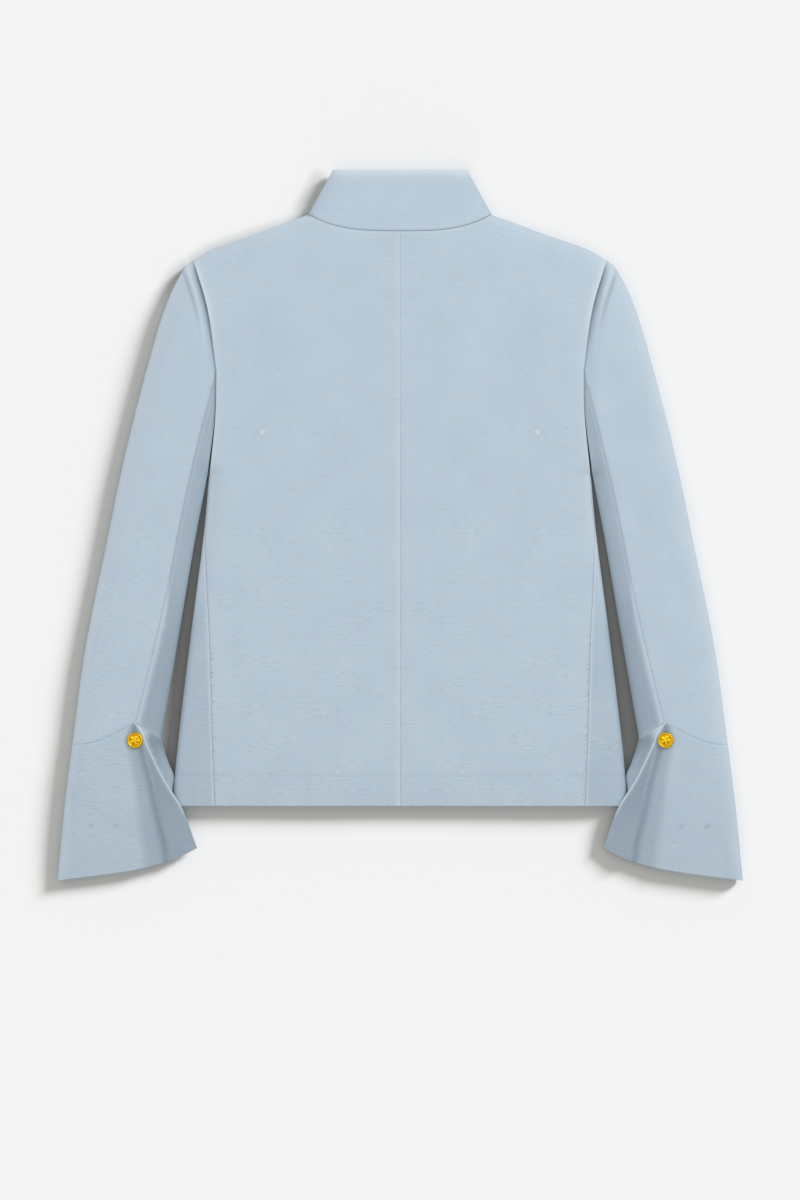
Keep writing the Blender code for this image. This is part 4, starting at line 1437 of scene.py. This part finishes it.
def cloth_material(cloth):
    """Matt plain weave with thick and thin weft yarns, with painted shade and painted highlight mixed in
    by the tone attribute.
    """
    name = "slubbed_cloth"
    if name in bpy.data.materials:
        return bpy.data.materials[name]
    material, tree, shader = new_material(name)
    place = add_node(tree, "ShaderNodeUVMap", uv_map="cut").outputs[0]
    depth = cloth.slub_contrast
    long_slubs = streaks(tree, place, LONG_SLUBS)
    warp_bands = streaks(tree, place, WARP_BANDS)
    clouds = streaks(tree, place, CLOUDS)
    clusters = scaled(tree, streaks(tree, place, CLUSTERS), *CLUSTER_SHARES)
    weft, warp, _ = add_node(tree, "ShaderNodeSeparateXYZ", {0: place}).outputs
    out = add_node(tree, "ShaderNodeMath", {0: weft}, operation="ABSOLUTE").outputs[0]
    low = ranged(tree, warp, SLUBS_TO_HEM)
    mid = ranged(tree, out, SLUBS_INWARD)
    knots = multiplied(tree, knotted(tree, streaks(tree, place, SHORT_SLUBS)), clusters, low, mid)
    shades = summed(
        tree,
        multiplied(tree, knots, KNOT_SHADE * depth),
        multiplied(tree, scaled(tree, long_slubs, -LONG_SHADE * depth, LONG_SHADE * depth), clusters),
        scaled(tree, warp_bands, -BAND_SHADE * depth, BAND_SHADE * depth),
        scaled(tree, clouds, 0.5 - CLOUD_SHADE * depth, 0.5 + CLOUD_SHADE * depth),
    )
    surface_colour = mixed(tree, shades, opaque(cloth.shade_colour), opaque(cloth.light_colour))
    # Painted shade towards the fold colour where the tone is below 0, and painted highlight towards the
    # edge colour where it is above 0
    tone = attribute(tree, "tone")
    surface_colour = mixed(tree, ranged(tree, tone, DARK_TONES), surface_colour, opaque(cloth.painted_fold_shade_colour))
    surface_colour = mixed(tree, ranged(tree, tone, LIGHT_TONES), surface_colour, opaque(cloth.edge_highlight_and_pale_yarn_colour))
    threads = add_node(
        tree,
        "ShaderNodeTexWave",
        {"Vector": place, "Scale": 520.0, "Distortion": 1.5, "Detail": 1.0, "Detail Scale": 0.4},
        bands_direction="Y",
    ).outputs[1]
    height = summed(
        tree,
        multiplied(tree, knots, KNOT_RELIEF),
        multiplied(tree, scaled(tree, long_slubs, 0.0, LONG_RELIEF), mid),
        scaled(tree, threads, 0.0, THREAD_RELIEF),
    )
    bump = add_node(
        tree, "ShaderNodeBump", {"Strength": cloth.slub_relief, "Distance": 0.0003, "Height": height}
    )
    finish = {
        "Base Color": surface_colour,
        "Normal": bump.outputs[0],
        "Roughness": 0.82,
        "Specular IOR Level": 0.3,
        "Sheen Weight": 0.12,
        "Sheen Roughness": 0.45,
        "Sheen Tint": (0.9, 0.95, 1.0, 1.0),
    }
    set_inputs(tree, shader, finish)
    return material


def gold_material(buttons):
    """Polished gold-coloured metal, darker in its hollows."""
    name = "gold_metal"
    if name in bpy.data.materials:
        return bpy.data.materials[name]
    material, tree, shader = new_material(name)
    wear = specks(tree, METAL_WEAR)
    dark = ranged(tree, attribute(tree, "tone"), DARK_TONES)
    smooth, rough = (buttons.roughness + change for change in WEAR_ROUGHNESS)
    bump = add_node(tree, "ShaderNodeBump", {"Strength": 0.2, "Distance": 0.0001, "Height": wear})
    finish = {
        "Base Color": mixed(tree, dark, opaque(buttons.gold_colour), opaque(buttons.hollow_colour)),
        "Roughness": scaled(tree, wear, smooth, rough),
        "Normal": bump.outputs[0],
        "Metallic": 1.0,
    }
    set_inputs(tree, shader, finish)
    return material


def button_mesh(name, buttons, hand):
    """Turned button with a rosette pressed into its face and a beaded rim."""
    face = column(BUTTON_FACE, "radius", "height")
    turn = np.linspace(0.0, 2.0 * math.pi, BUTTON_SIDES + 1)[:-1]
    rings = []
    tones = []
    for radius in np.linspace(0.0, BUTTON_FACE[-1].radius, BUTTON_RINGS + 1)[1:]:
        height = np.full_like(turn, face(radius))
        tone = np.full_like(turn, BUTTON_TONE)
        for row in ORNAMENTS:
            repeats = row.petals * buttons.petals + row.fixed
            ring = np.cos(repeats * turn + row.turn) * np.exp(-(((radius - row.radius) / row.width) ** 2))
            height += row.height * ring
            tone += row.tone * ring
        rings.append((radius + WOBBLE * np.sin(WOBBLE_SIDES * turn + WOBBLE_TURN), height))
        tones.append(tone)
    for row in BUTTON_BACK:
        rings.append((np.full_like(turn, row.radius), np.full_like(turn, row.height)))
        tones.append(np.full_like(turn, BUTTON_BACK_TONE))

    seat = np.array((BUTTON_CENTRE.across * hand, BUTTON_CENTRE.up, CUFF_HEIGHT + SEAM_GAP))
    shape = bmesh.new()
    tone_layer = shape.verts.layers.float.new("tone")
    loops = []
    for (radius, height), tone in zip(rings, tones):
        ring = []
        for index, angle in enumerate(turn):
            spot = (radius[index] * math.cos(angle), radius[index] * math.sin(angle), height[index])
            vert = shape.verts.new(Vector(seat + spot) * MM)
            vert[tone_layer] = min(0.0, float(tone[index]))
            ring.append(vert)
        loops.append(ring)
    middle = shape.verts.new(Vector(seat + (0.0, 0.0, face(0.0))) * MM)
    under = shape.verts.new(Vector(seat) * MM)
    for index in range(BUTTON_SIDES):
        after = (index + 1) % BUTTON_SIDES
        shape.faces.new((middle, loops[0][index], loops[0][after]))
        shape.faces.new((under, loops[-1][after], loops[-1][index]))
        for inner, outer in zip(loops, loops[1:]):
            shape.faces.new((inner[index], outer[index], outer[after], inner[after]))
    mesh = bpy.data.meshes.new(name)
    shape.to_mesh(mesh)
    shape.free()
    mesh.shade_smooth()
    return mesh


def new_tree(name, rows):
    """Empty Geometry Nodes tree with named inputs, which are given by their identifiers."""
    tree = bpy.data.node_groups.new(name, "GeometryNodeTree")
    sockets = tree.interface
    sockets.new_socket("Geometry", in_out="INPUT", socket_type="NodeSocketGeometry")
    inputs = {}
    for title, kind, default in rows:
        socket = sockets.new_socket(title, in_out="INPUT", socket_type=kind)
        socket.default_value = default
        inputs[title] = socket.identifier
    sockets.new_socket("Geometry", in_out="OUTPUT", socket_type="NodeSocketGeometry")
    return tree, tree.nodes.new("NodeGroupInput").outputs, inputs


def random_between(tree, low, high, seed):
    """Random value for each instance."""
    inputs = {2: low, 3: high, "Seed": seed}
    return add_node(tree, "FunctionNodeRandomValue", inputs, data_type="FLOAT").outputs[1]


def lay_yarns(tree, given, points, rotation, shortest, material):
    """Finish a tree with short yarns, uneven in length, on its points."""
    ball = {"Segments": YARN_SEGMENTS, "Rings": YARN_RINGS, "Radius": 1.0}
    yarn = add_node(tree, "GeometryNodeMeshUVSphere", ball).outputs[0]
    share = random_between(tree, shortest, YARN_LONGEST, given["Seed"])
    long = multiplied(tree, given["Length"], share)
    flat = multiplied(tree, given["Radius"], YARN_FLATNESS)
    size = add_node(tree, "ShaderNodeCombineXYZ", {0: long, 1: given["Radius"], 2: flat}).outputs[0]
    placed = add_node(
        tree,
        "GeometryNodeInstanceOnPoints",
        {"Points": points, "Instance": yarn, "Rotation": rotation, "Scale": size},
    ).outputs[0]
    solid = add_node(tree, "GeometryNodeRealizeInstances", {0: placed}).outputs[0]
    painted = add_node(tree, "GeometryNodeSetMaterial", {"Geometry": solid, "Material": material})
    finished = tree.nodes.new("NodeGroupOutput")
    tree.links.new(painted.outputs[0], finished.inputs[0])


def above(tree, value, least):
    """Whether a value is greater than a least one."""
    return add_node(tree, "FunctionNodeCompare", {0: value, 1: least}, operation="GREATER_THAN").outputs[0]


def slub_tree(cloth, material):
    """Node tree that scatters thick lengths of weft yarn over a cloth panel's outside."""
    tree, given, inputs = new_tree(
        "slub_yarns",
        (
            ("Density", "NodeSocketFloat", cloth.slub_density),
            ("Length", "NodeSocketFloat", cloth.slub_length),
            ("Radius", "NodeSocketFloat", cloth.slub_radius),
            ("Turn", "NodeSocketFloat", 0.0),
            ("Seed", "NodeSocketInt", 1),
        ),
    )
    normal = add_node(tree, "GeometryNodeInputNormal").outputs[0]
    height = add_node(tree, "ShaderNodeSeparateXYZ", {0: normal}).outputs[2]
    tone = add_node(tree, "GeometryNodeInputNamedAttribute", {"Name": "tone"}).outputs[0]
    fit = {0: above(tree, height, SLUB_LEVEL), 1: above(tree, tone, SLUB_DARKEST)}
    open_cloth = add_node(tree, "FunctionNodeBooleanMath", fit, operation="AND").outputs[0]
    place = add_node(tree, "GeometryNodeInputPosition").outputs[0]
    up = add_node(tree, "ShaderNodeSeparateXYZ", {0: place}).outputs[1]
    density = multiplied(tree, given["Density"], ranged(tree, up, YARNS_TO_HEM))
    scattered = add_node(
        tree,
        "GeometryNodeDistributePointsOnFaces",
        {"Mesh": given["Geometry"], "Selection": open_cloth, "Density": density, "Seed": given["Seed"]},
    )
    grain = add_node(tree, "ShaderNodeCombineXYZ", {2: given["Turn"]}).outputs[0]
    laid = add_node(
        tree,
        "FunctionNodeAlignEulerToVector",
        {"Rotation": grain, "Vector": scattered.outputs["Normal"]},
        axis="Z",
    ).outputs[0]
    lay_yarns(tree, given, scattered.outputs["Points"], laid, SLUB_SHORTEST, material)
    return tree, inputs


def pull_tree(cloth, material):
    """Node tree that lays a short pull across the seam at each point of a mesh."""
    tree, given, inputs = new_tree(
        "seam_pulls",
        (
            ("Length", "NodeSocketFloat", cloth.pull_length),
            ("Radius", "NodeSocketFloat", cloth.pull_radius),
            ("Slant", "NodeSocketFloat", PULL_SLANT),
            ("Seed", "NodeSocketInt", 1),
        ),
    )
    slant = multiplied(tree, given["Slant"], random_between(tree, -1.0, 1.0, given["Seed"]))
    turn = add_node(tree, "ShaderNodeCombineXYZ", {2: slant}).outputs[0]
    lay_yarns(tree, given, given["Geometry"], turn, PULL_SHORTEST, material)
    return tree, inputs


def pull_places(panel, hand):
    """Uneven places on a back panel beside its side-back seam."""
    chance = np.random.default_rng(PULL_SEED + hand)
    run = PULL_LEVELS.start - PULL_LEVELS.end
    steps = chance.uniform(*PULL_STEPS, math.ceil(run / PULL_STEPS.start))
    up = PULL_LEVELS.start - np.cumsum(steps)
    up = up[up > PULL_LEVELS.end]
    across = half_width(up) - back_in(up) - chance.uniform(*PULL_PLACE, len(up))
    place = np.stack((across * hand, up), axis=-1)
    points = over(place, crown(up)) * MM
    return [panel.closest_point_on_mesh(Vector(point))[1] for point in points]


def yarn_material(cloth):
    """Yarn of the thick places in the weft, some paler and some darker than the cloth."""
    material, tree, shader = new_material("slub_yarn")
    share = scaled(tree, specks(tree, YARN_TWIST), 0.0, 1.0)
    surface_colour = mixed(tree, share, opaque(cloth.yarn_and_pull_shade_colour), opaque(cloth.edge_highlight_and_pale_yarn_colour))
    set_inputs(tree, shader, {"Base Color": surface_colour, "Roughness": 0.75})
    return material


def pull_shade_material(cloth):
    """Painted shade of a pull, in the colour of the darkest yarns."""
    material, tree, shader = new_material("seam_pull")
    set_inputs(tree, shader, {"Base Color": opaque(cloth.yarn_and_pull_shade_colour), "Roughness": 0.82})
    return material


def add_yarns(context, name, base, tree, values):
    """Piece of yarns that a node tree lays on a base mesh, by the given values of its inputs."""
    holder = bpy.data.objects.new("yarn_holder", base)
    context.scene.collection.objects.link(holder)
    layer = holder.modifiers.new("yarns", "NODES")
    layer.node_group = tree
    for identifier, value in values.items():
        layer[identifier] = value
    graph = bpy.context.evaluated_depsgraph_get()
    mesh = bpy.data.meshes.new_from_object(holder.evaluated_get(graph))
    mesh.name = name
    bpy.data.objects.remove(holder, do_unlink=True)
    if not mesh.polygons:
        raise RuntimeError(f"no yarns for {name}")
    return add_piece(context, name, mesh)


COLOUR = {"subtype": "COLOR", "size": 3, "min": 0.0, "max": 1.0}


class JacketCloth(PropertyGroup):
    """Cloth of the jacket."""

    light_colour: FloatVectorProperty(
        name="Light colour",
        description="Colour of the lighter yarns",
        default=(0.575, 0.693, 0.81),
        **COLOUR,
    )
    shade_colour: FloatVectorProperty(
        name="Shade colour",
        description="Colour of the darker yarns",
        default=(0.477, 0.581, 0.7),
        **COLOUR,
    )
    # Painted shade: the colour that the cloth is darkened towards in seams, folds, shaded panels and its
    # inside
    painted_fold_shade_colour: FloatVectorProperty(
        name="Fold colour",
        description="Colour deep in the seams and folds",
        default=(0.22, 0.285, 0.36),
        **COLOUR,
    )
    # Painted highlight on edges and seam sides that catch the light, and the colour of the palest raised
    # yarns
    edge_highlight_and_pale_yarn_colour: FloatVectorProperty(
        name="Edge colour",
        description="Colour of pressed edges",
        default=(0.78, 0.86, 0.93),
        **COLOUR,
    )
    # Colour of the darkest raised yarns, and of the painted shade that the pulls beside the seams stand
    # for
    yarn_and_pull_shade_colour: FloatVectorProperty(
        name="Yarn colour",
        description="Colour of the darkest raised slub yarns",
        default=(0.36, 0.45, 0.55),
        **COLOUR,
    )
    wall: FloatProperty(
        name="Wall",
        description="Thickness of the cloth",
        default=1.6 * MM,
        unit="LENGTH",
    )
    cell: FloatProperty(
        name="Cell",
        description="Step of the panels' meshes",
        default=2.2 * MM,
        unit="LENGTH",
    )
    slub_contrast: FloatProperty(
        name="Slub contrast",
        description="How far the yarns differ in colour",
        subtype="FACTOR",
        default=0.55,
    )
    slub_relief: FloatProperty(
        name="Slub relief",
        description="How strongly the weave catches the light",
        subtype="FACTOR",
        default=0.35,
    )
    slub_density: FloatProperty(
        name="Slub density",
        description="Raised slub yarns on each square metre",
        default=2600.0,
    )
    slub_length: FloatProperty(
        name="Slub length",
        description="Half length of a usual raised slub yarn",
        default=2.6 * MM,
        unit="LENGTH",
    )
    slub_radius: FloatProperty(
        name="Slub radius",
        description="Radius of a raised slub yarn",
        default=0.28 * MM,
        unit="LENGTH",
    )
    pull_length: FloatProperty(
        name="Pull length",
        description="Half length of a usual pull beside a seam",
        default=1.7 * MM,
        unit="LENGTH",
    )
    pull_radius: FloatProperty(
        name="Pull radius",
        description="Half width of a pull beside a seam",
        default=0.42 * MM,
        unit="LENGTH",
    )


class JacketButtons(PropertyGroup):
    """Metal buttons of the cuffs."""

    gold_colour: FloatVectorProperty(
        name="Gold colour",
        description="Colour of the polished metal",
        default=(1.0, 0.64, 0.02),
        **COLOUR,
    )
    hollow_colour: FloatVectorProperty(
        name="Hollow colour",
        description="Colour of the metal deep in its pattern",
        default=(0.5, 0.22, 0.01),
        **COLOUR,
    )
    roughness: FloatProperty(
        name="Roughness",
        description="Roughness of the metal",
        subtype="FACTOR",
        default=0.34,
    )
    petals: IntProperty(
        name="Petals",
        description="Petals of the rosette on a button's face",
        default=5,
        min=3,
    )


class JacketStage(PropertyGroup):
    """Floor, lights and camera."""

    floor_colour: FloatVectorProperty(
        name="Floor colour",
        description="Colour of the floor",
        default=(0.82, 0.82, 0.815),
        **COLOUR,
    )
    # Painted shadow on the floor in the gaps and beside edges: how pale the floor stays under it
    gap_shade: FloatProperty(
        name="Gap shade",
        description="How pale the floor stays in the gaps between the sleeves and the body",
        subtype="FACTOR",
        default=0.385,
    )
    view_height: FloatProperty(
        name="View height",
        description="Length of floor that the picture shows from top to bottom",
        default=1.143,
        unit="LENGTH",
    )
    view_up: FloatProperty(
        name="View middle",
        description="Place of the picture's middle along the jacket",
        default=-0.071,
        unit="LENGTH",
    )
    lens: FloatProperty(
        name="Lens",
        description="Focal length of the camera",
        default=220.0,
        unit="CAMERA",
    )
    sky: FloatProperty(
        name="Sky",
        description="Strength of the even light from all round",
        default=0.53,
    )
    sky_colour: FloatVectorProperty(
        name="Sky colour",
        description="Colour of the even light, which is left in the shadow",
        default=(1.0, 1.0, 0.95),
        **COLOUR,
    )
    key_colour: FloatVectorProperty(
        name="Key colour",
        description="Colour of the low light",
        default=(0.955, 0.955, 1.0),
        **COLOUR,
    )
    key: FloatProperty(
        name="Key",
        description="Strength of the low light that casts the shadow on the floor",
        default=5.6,
    )
    key_angle: FloatProperty(
        name="Key width",
        description="Angle that the low light spans, which softens its shadow",
        default=math.radians(15.5),
        unit="ROTATION",
    )
    key_height: FloatProperty(
        name="Key height",
        description="Angle of the low light over the floor",
        default=math.radians(19.5),
        unit="ROTATION",
    )
    fill: FloatProperty(
        name="Fill",
        description="Power of the large soft lights over the jacket",
        default=42.0,
    )


class JACKET_OT_backs(Operator):
    """Lay the two back panels."""

    bl_idname = "jacket.backs"
    bl_label = "Back panels"

    def execute(self, context):
        for side, hand in HANDS:
            lay_panel(
                context,
                f"back_{side}",
                back_surface(),
                BACK_FACING,
                back_relief,
                hand,
            )
        return {"FINISHED"}


class JACKET_OT_sides(Operator):
    """Wrap the two side panels round the side folds."""

    bl_idname = "jacket.sides"
    bl_label = "Side panels"

    def execute(self, context):
        for side, hand in HANDS:
            lay_panel(context, f"side_{side}", side_surface(), SIDE_FACING, side_relief, hand)
        return {"FINISHED"}


class JACKET_OT_fronts(Operator):
    """Lay the two front panels underneath."""

    bl_idname = "jacket.fronts"
    bl_label = "Front panels"

    def execute(self, context):
        for side, hand in HANDS:
            lay_panel(context, f"front_{side}", front_surface(), FRONT_FACING, plain_relief, hand)
        return {"FINISHED"}


class JACKET_OT_sleeves(Operator):
    """Lay the upper and under sleeves."""

    bl_idname = "jacket.sleeves"
    bl_label = "Sleeves"

    def execute(self, context):
        for side, hand in HANDS:
            for part, made, relief in (
                ("upper", upper_sleeve_surface(), sleeve_relief),
                ("under", under_sleeve_surface(), strip_relief),
            ):
                node = f"sleeve_{part}_{side}"
                lay_panel(context, node, made, SLEEVE_FACING, relief, hand, SLEEVE_GRAIN)
        return {"FINISHED"}


class JACKET_OT_cuffs(Operator):
    """Wrap the two flared cuffs, open at the vent."""

    bl_idname = "jacket.cuffs"
    bl_label = "Cuffs"

    def execute(self, context):
        for side, hand in HANDS:
            made = cuff_surface()
            lay_panel(context, f"cuff_{side}", made, SLEEVE_FACING, cuff_relief, hand, CUFF_GRAIN)
        return {"FINISHED"}


class JACKET_OT_collar(Operator):
    """Wrap the stand collar round the neck."""

    bl_idname = "jacket.collar"
    bl_label = "Collar"

    def execute(self, context):
        lay_panel(context, "collar", collar_surface(), COLLAR_FACING, collar_relief)
        return {"FINISHED"}


class JACKET_OT_buttons(Operator):
    """Set the two metal buttons on the cuffs."""

    bl_idname = "jacket.buttons"
    bl_label = "Buttons"

    def execute(self, context):
        buttons = context.scene.jacket_buttons
        for side, hand in HANDS:
            name = f"button_{side}_metal"
            mesh = button_mesh(name, buttons, hand)
            mesh.materials.append(gold_material(buttons))
            piece = add_piece(context, name, mesh)
            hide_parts(f"button_{side}")
        return {"FINISHED"}


class JACKET_OT_slubs(Operator):
    """Scatter raised slub yarns over the outer panels."""

    bl_idname = "jacket.slubs"
    bl_label = "Slub yarns"

    def execute(self, context):
        cloth = context.scene.jacket_cloth
        tree, inputs = slub_tree(cloth, yarn_material(cloth))
        grain = {"back": 0.0, "sleeve_upper": SLEEVE_GRAIN, "cuff": CUFF_GRAIN}
        seed = 0
        for part, turn in grain.items():
            for side, hand in HANDS:
                seed += 1
                panel = bpy.data.objects[f"{part}_{side}_cloth"]
                values = {inputs["Turn"]: turn * hand, inputs["Seed"]: seed}
                add_yarns(context, f"slubs_{part}_{side}", panel.data, tree, values)
        return {"FINISHED"}


class JACKET_OT_pulls(Operator):
    """Lay the short pulls beside the side-back seams."""

    bl_idname = "jacket.pulls"
    bl_label = "Seam pulls"

    def execute(self, context):
        cloth = context.scene.jacket_cloth
        tree, inputs = pull_tree(cloth, pull_shade_material(cloth))
        for side, hand in HANDS:
            panel = bpy.data.objects[f"back_{side}_cloth"]
            points = bpy.data.meshes.new("pull_points")
            points.from_pydata(pull_places(panel, hand), [], [])
            add_yarns(context, f"pulls_{side}", points, tree, {inputs["Seed"]: PULL_SEED + hand})
        return {"FINISHED"}


# Floor: half its width, and the half width and step of the finer part round the jacket
FLOOR_HALF = 6000.0
FLOOR_NEAR = 360.0
FLOOR_CELL = 3.0

# Gaps between the sleeves and the body, where the floor gets painted shadow: how far under the cloth
# they reach, and how far they open up towards the underarm
GAP_MARGIN = 8.0
GAP_OPENS = 0.35
GAP_LEVELS = Span(45.0, 10.0)

# Painted soft shadow on the floor beside edges: the line it follows and on which side, how far it is
# moved to the left and down, its reach and strength, and the levels over which it grows
HaloRow = namedtuple("HaloRow", "line hand left down reach share levels")
HALO_ROWS = (
    HaloRow(COLLAR_LINE, -1, 14.0, 7.0, 13.0, 0.36, Span(292.0, 312.0)),
    HaloRow(SHOULDER_LINE, -1, 0.0, 0.0, 11.5, 0.37, Span(310.0, 280.0)),
    HaloRow(OUTER_LINE, -1, 9.0, 8.0, 14.0, 0.42, Span(205.0, 236.0)),
    HaloRow(COLLAR_LINE, 1, 0.0, 0.0, 11.5, 0.11, Span(270.0, 300.0)),
    HaloRow(SHOULDER_LINE, 1, 0.0, 0.0, 11.5, 0.11, Span(310.0, 280.0)),
    HaloRow(OUTER_LINE, 1, 0.0, 0.0, 11.5, 0.11, Span(-340.0, -300.0)),
    HaloRow(CUFF_OUTER_LINE, 1, 0.0, 0.0, 11.5, 0.11, Span(-340.0, -300.0)),
)

# Turn of the low light, and the soft lights with their share of the power, size and place in metres
KEY_TURN = math.radians(127.5)
FillRow = namedtuple("FillRow", "name share size across up height")
FILL_ROWS = (
    FillRow("fill_top", 0.42, 2.0, 0.2, 0.3, 3.3),
    FillRow("fill_right", 0.42, 1.2, 1.6, 1.1, 1.9),
    FillRow("fill_left", 0.16, 1.2, -1.6, 0.9, 1.9),
)


def floor_mesh():
    """Floor, with an attribute of painted shadow in the gaps between the sleeves and the body and beside
    edges.
    """
    near = np.arange(-FLOOR_NEAR, FLOOR_NEAR + 1.0, FLOOR_CELL)
    spread = np.concatenate(([-FLOOR_HALF], near, [FLOOR_HALF]))
    across, up = np.meshgrid(spread, spread)
    sleeve_rows = SLEEVE_INNER + CUFF_INNER_FOLD[1:]
    sleeve_up = [-row.up for row in sleeve_rows]
    sleeve_edge = np.interp(-up, sleeve_up, [row.across for row in sleeve_rows])
    between = (np.abs(across) > half_width(np.clip(up, HEM, UNDERARM.up)) - GAP_MARGIN)
    between &= (np.abs(across) < sleeve_edge + GAP_MARGIN) & (up > HEM) & (up < UNDERARM.up)
    closed = between * (1.0 - GAP_OPENS * (1.0 - fade(up, GAP_LEVELS)))
    place = np.stack((across, up), axis=-1)
    for row in HALO_ROWS:
        gap = distance(row.line * (row.hand, 1) - (row.left, row.down), place)
        closed = np.maximum(closed, row.share * soft(1.0 - gap / row.reach) * fade(up, row.levels))
    count = len(spread)
    number = np.arange(count * count).reshape(count, count)
    points = np.stack((across, up, np.zeros_like(up)), axis=-1).reshape(-1, 3) * MM
    mesh = bpy.data.meshes.new("floor")
    mesh.from_pydata(points.tolist(), [], grid_quads(number).tolist())
    layer = mesh.attributes.new("closed", "FLOAT", "POINT")
    layer.data.foreach_set("value", closed.ravel().astype(np.float32))
    return mesh


def floor_material(stage):
    """Plain pale paper, darkened by painted shadow where its attribute says."""
    material, tree, shader = new_material("floor_paper")
    pale = opaque(stage.floor_colour)
    shaded = opaque(stage.gap_shade * value for value in stage.floor_colour)
    finish = {
        "Base Color": mixed(tree, attribute(tree, "closed"), pale, shaded),
        "Roughness": 0.95,
        "Specular IOR Level": 0.0,
    }
    set_inputs(tree, shader, finish)
    return material


def add_area_light(context, name, power, size, place, aim):
    """Square soft light that points at a place."""
    lamp = bpy.data.lights.new(name, "AREA")
    lamp.shape = "SQUARE"
    lamp.size = size
    lamp.energy = power
    light = bpy.data.objects.new(name, lamp)
    light.location = place
    light.rotation_mode = "QUATERNION"
    light.rotation_quaternion = (Vector(aim) - Vector(place)).to_track_quat("-Z", "Y")
    light.visible_camera = False
    context.scene.collection.objects.link(light)
    return light


class JACKET_OT_stage(Operator):
    """Set the floor, the soft studio lights and the camera over the jacket."""

    bl_idname = "jacket.stage"
    bl_label = "Stage"

    def execute(self, context):
        stage = context.scene.jacket_stage
        mesh = floor_mesh()
        mesh.materials.append(floor_material(stage))
        floor = bpy.data.objects.new("floor", mesh)
        context.scene.collection.objects.link(floor)

        aim = (0.0, stage.view_up, 0.0)
        lamp = bpy.data.lights.new("key", "SUN")
        lamp.energy = stage.key
        lamp.color = stage.key_colour
        lamp.angle = stage.key_angle
        key = bpy.data.objects.new("key", lamp)
        key.rotation_euler = (0.5 * math.pi - stage.key_height, 0.0, KEY_TURN)
        context.scene.collection.objects.link(key)
        floor_only = bpy.data.collections.new("floor_only")
        floor_only.objects.link(floor)
        key.light_linking.receiver_collection = floor_only
        jacket_only = bpy.data.collections.new("jacket_only")
        jacket_only.objects.link(floor)
        jacket_only.collection_objects[0].light_linking.link_state = "EXCLUDE"
        for row in FILL_ROWS:
            place = (row.across, row.up, row.height)
            fill = add_area_light(context, row.name, row.share * stage.fill, row.size, place, aim)
            fill.light_linking.receiver_collection = jacket_only

        world = bpy.data.worlds.new("studio")
        world.use_nodes = True
        background = world.node_tree.nodes["Background"]
        background.inputs["Color"].default_value = opaque(stage.sky_colour)
        background.inputs["Strength"].default_value = stage.sky
        context.scene.world = world

        lens = bpy.data.cameras.new("camera")
        lens.sensor_width = 36.0
        lens.lens = stage.lens
        lens.clip_end = 50.0
        camera = bpy.data.objects.new("camera", lens)
        camera.location = (0.0, stage.view_up, stage.view_height * stage.lens / lens.sensor_width)
        context.scene.collection.objects.link(camera)
        context.scene.camera = camera
        context.scene.view_settings.view_transform = "Standard"
        return {"FINISHED"}


PIECES = (
    JACKET_OT_backs,
    JACKET_OT_sides,
    JACKET_OT_fronts,
    JACKET_OT_sleeves,
    JACKET_OT_cuffs,
    JACKET_OT_collar,
    JACKET_OT_buttons,
    JACKET_OT_slubs,
    JACKET_OT_pulls,
    JACKET_OT_stage,
)


class JACKET_PT_pieces(Panel):
    """Pieces of the jacket and its stage."""

    bl_label = "Stand collar jacket"
    bl_space_type = "VIEW_3D"
    bl_region_type = "UI"
    bl_category = "Jacket"

    def draw(self, context):
        for piece in PIECES:
            self.layout.operator(piece.bl_idname)
        for group in ("jacket_cloth", "jacket_buttons", "jacket_stage"):
            box = self.layout.box()
            values = getattr(context.scene, group)
            for name in type(values).__annotations__:
                box.prop(values, name)


CLASSES = (JacketCloth, JacketButtons, JacketStage, *PIECES, JACKET_PT_pieces)


def register():
    """Register the classes and hang their settings on the scene."""
    for made in CLASSES:
        bpy.utils.register_class(made)
    bpy.types.Scene.jacket_cloth = PointerProperty(type=JacketCloth)
    bpy.types.Scene.jacket_buttons = PointerProperty(type=JacketButtons)
    bpy.types.Scene.jacket_stage = PointerProperty(type=JacketStage)


def unregister():
    """Take the settings off the scene and unregister the classes."""
    del bpy.types.Scene.jacket_stage
    del bpy.types.Scene.jacket_buttons
    del bpy.types.Scene.jacket_cloth
    for made in reversed(CLASSES):
        bpy.utils.unregister_class(made)


def main():
    """Build every piece."""
    register()
    for piece in PIECES:
        group, name = piece.bl_idname.split(".")
        getattr(getattr(bpy.ops, group), name)()


if __name__ == "__main__":
    main()
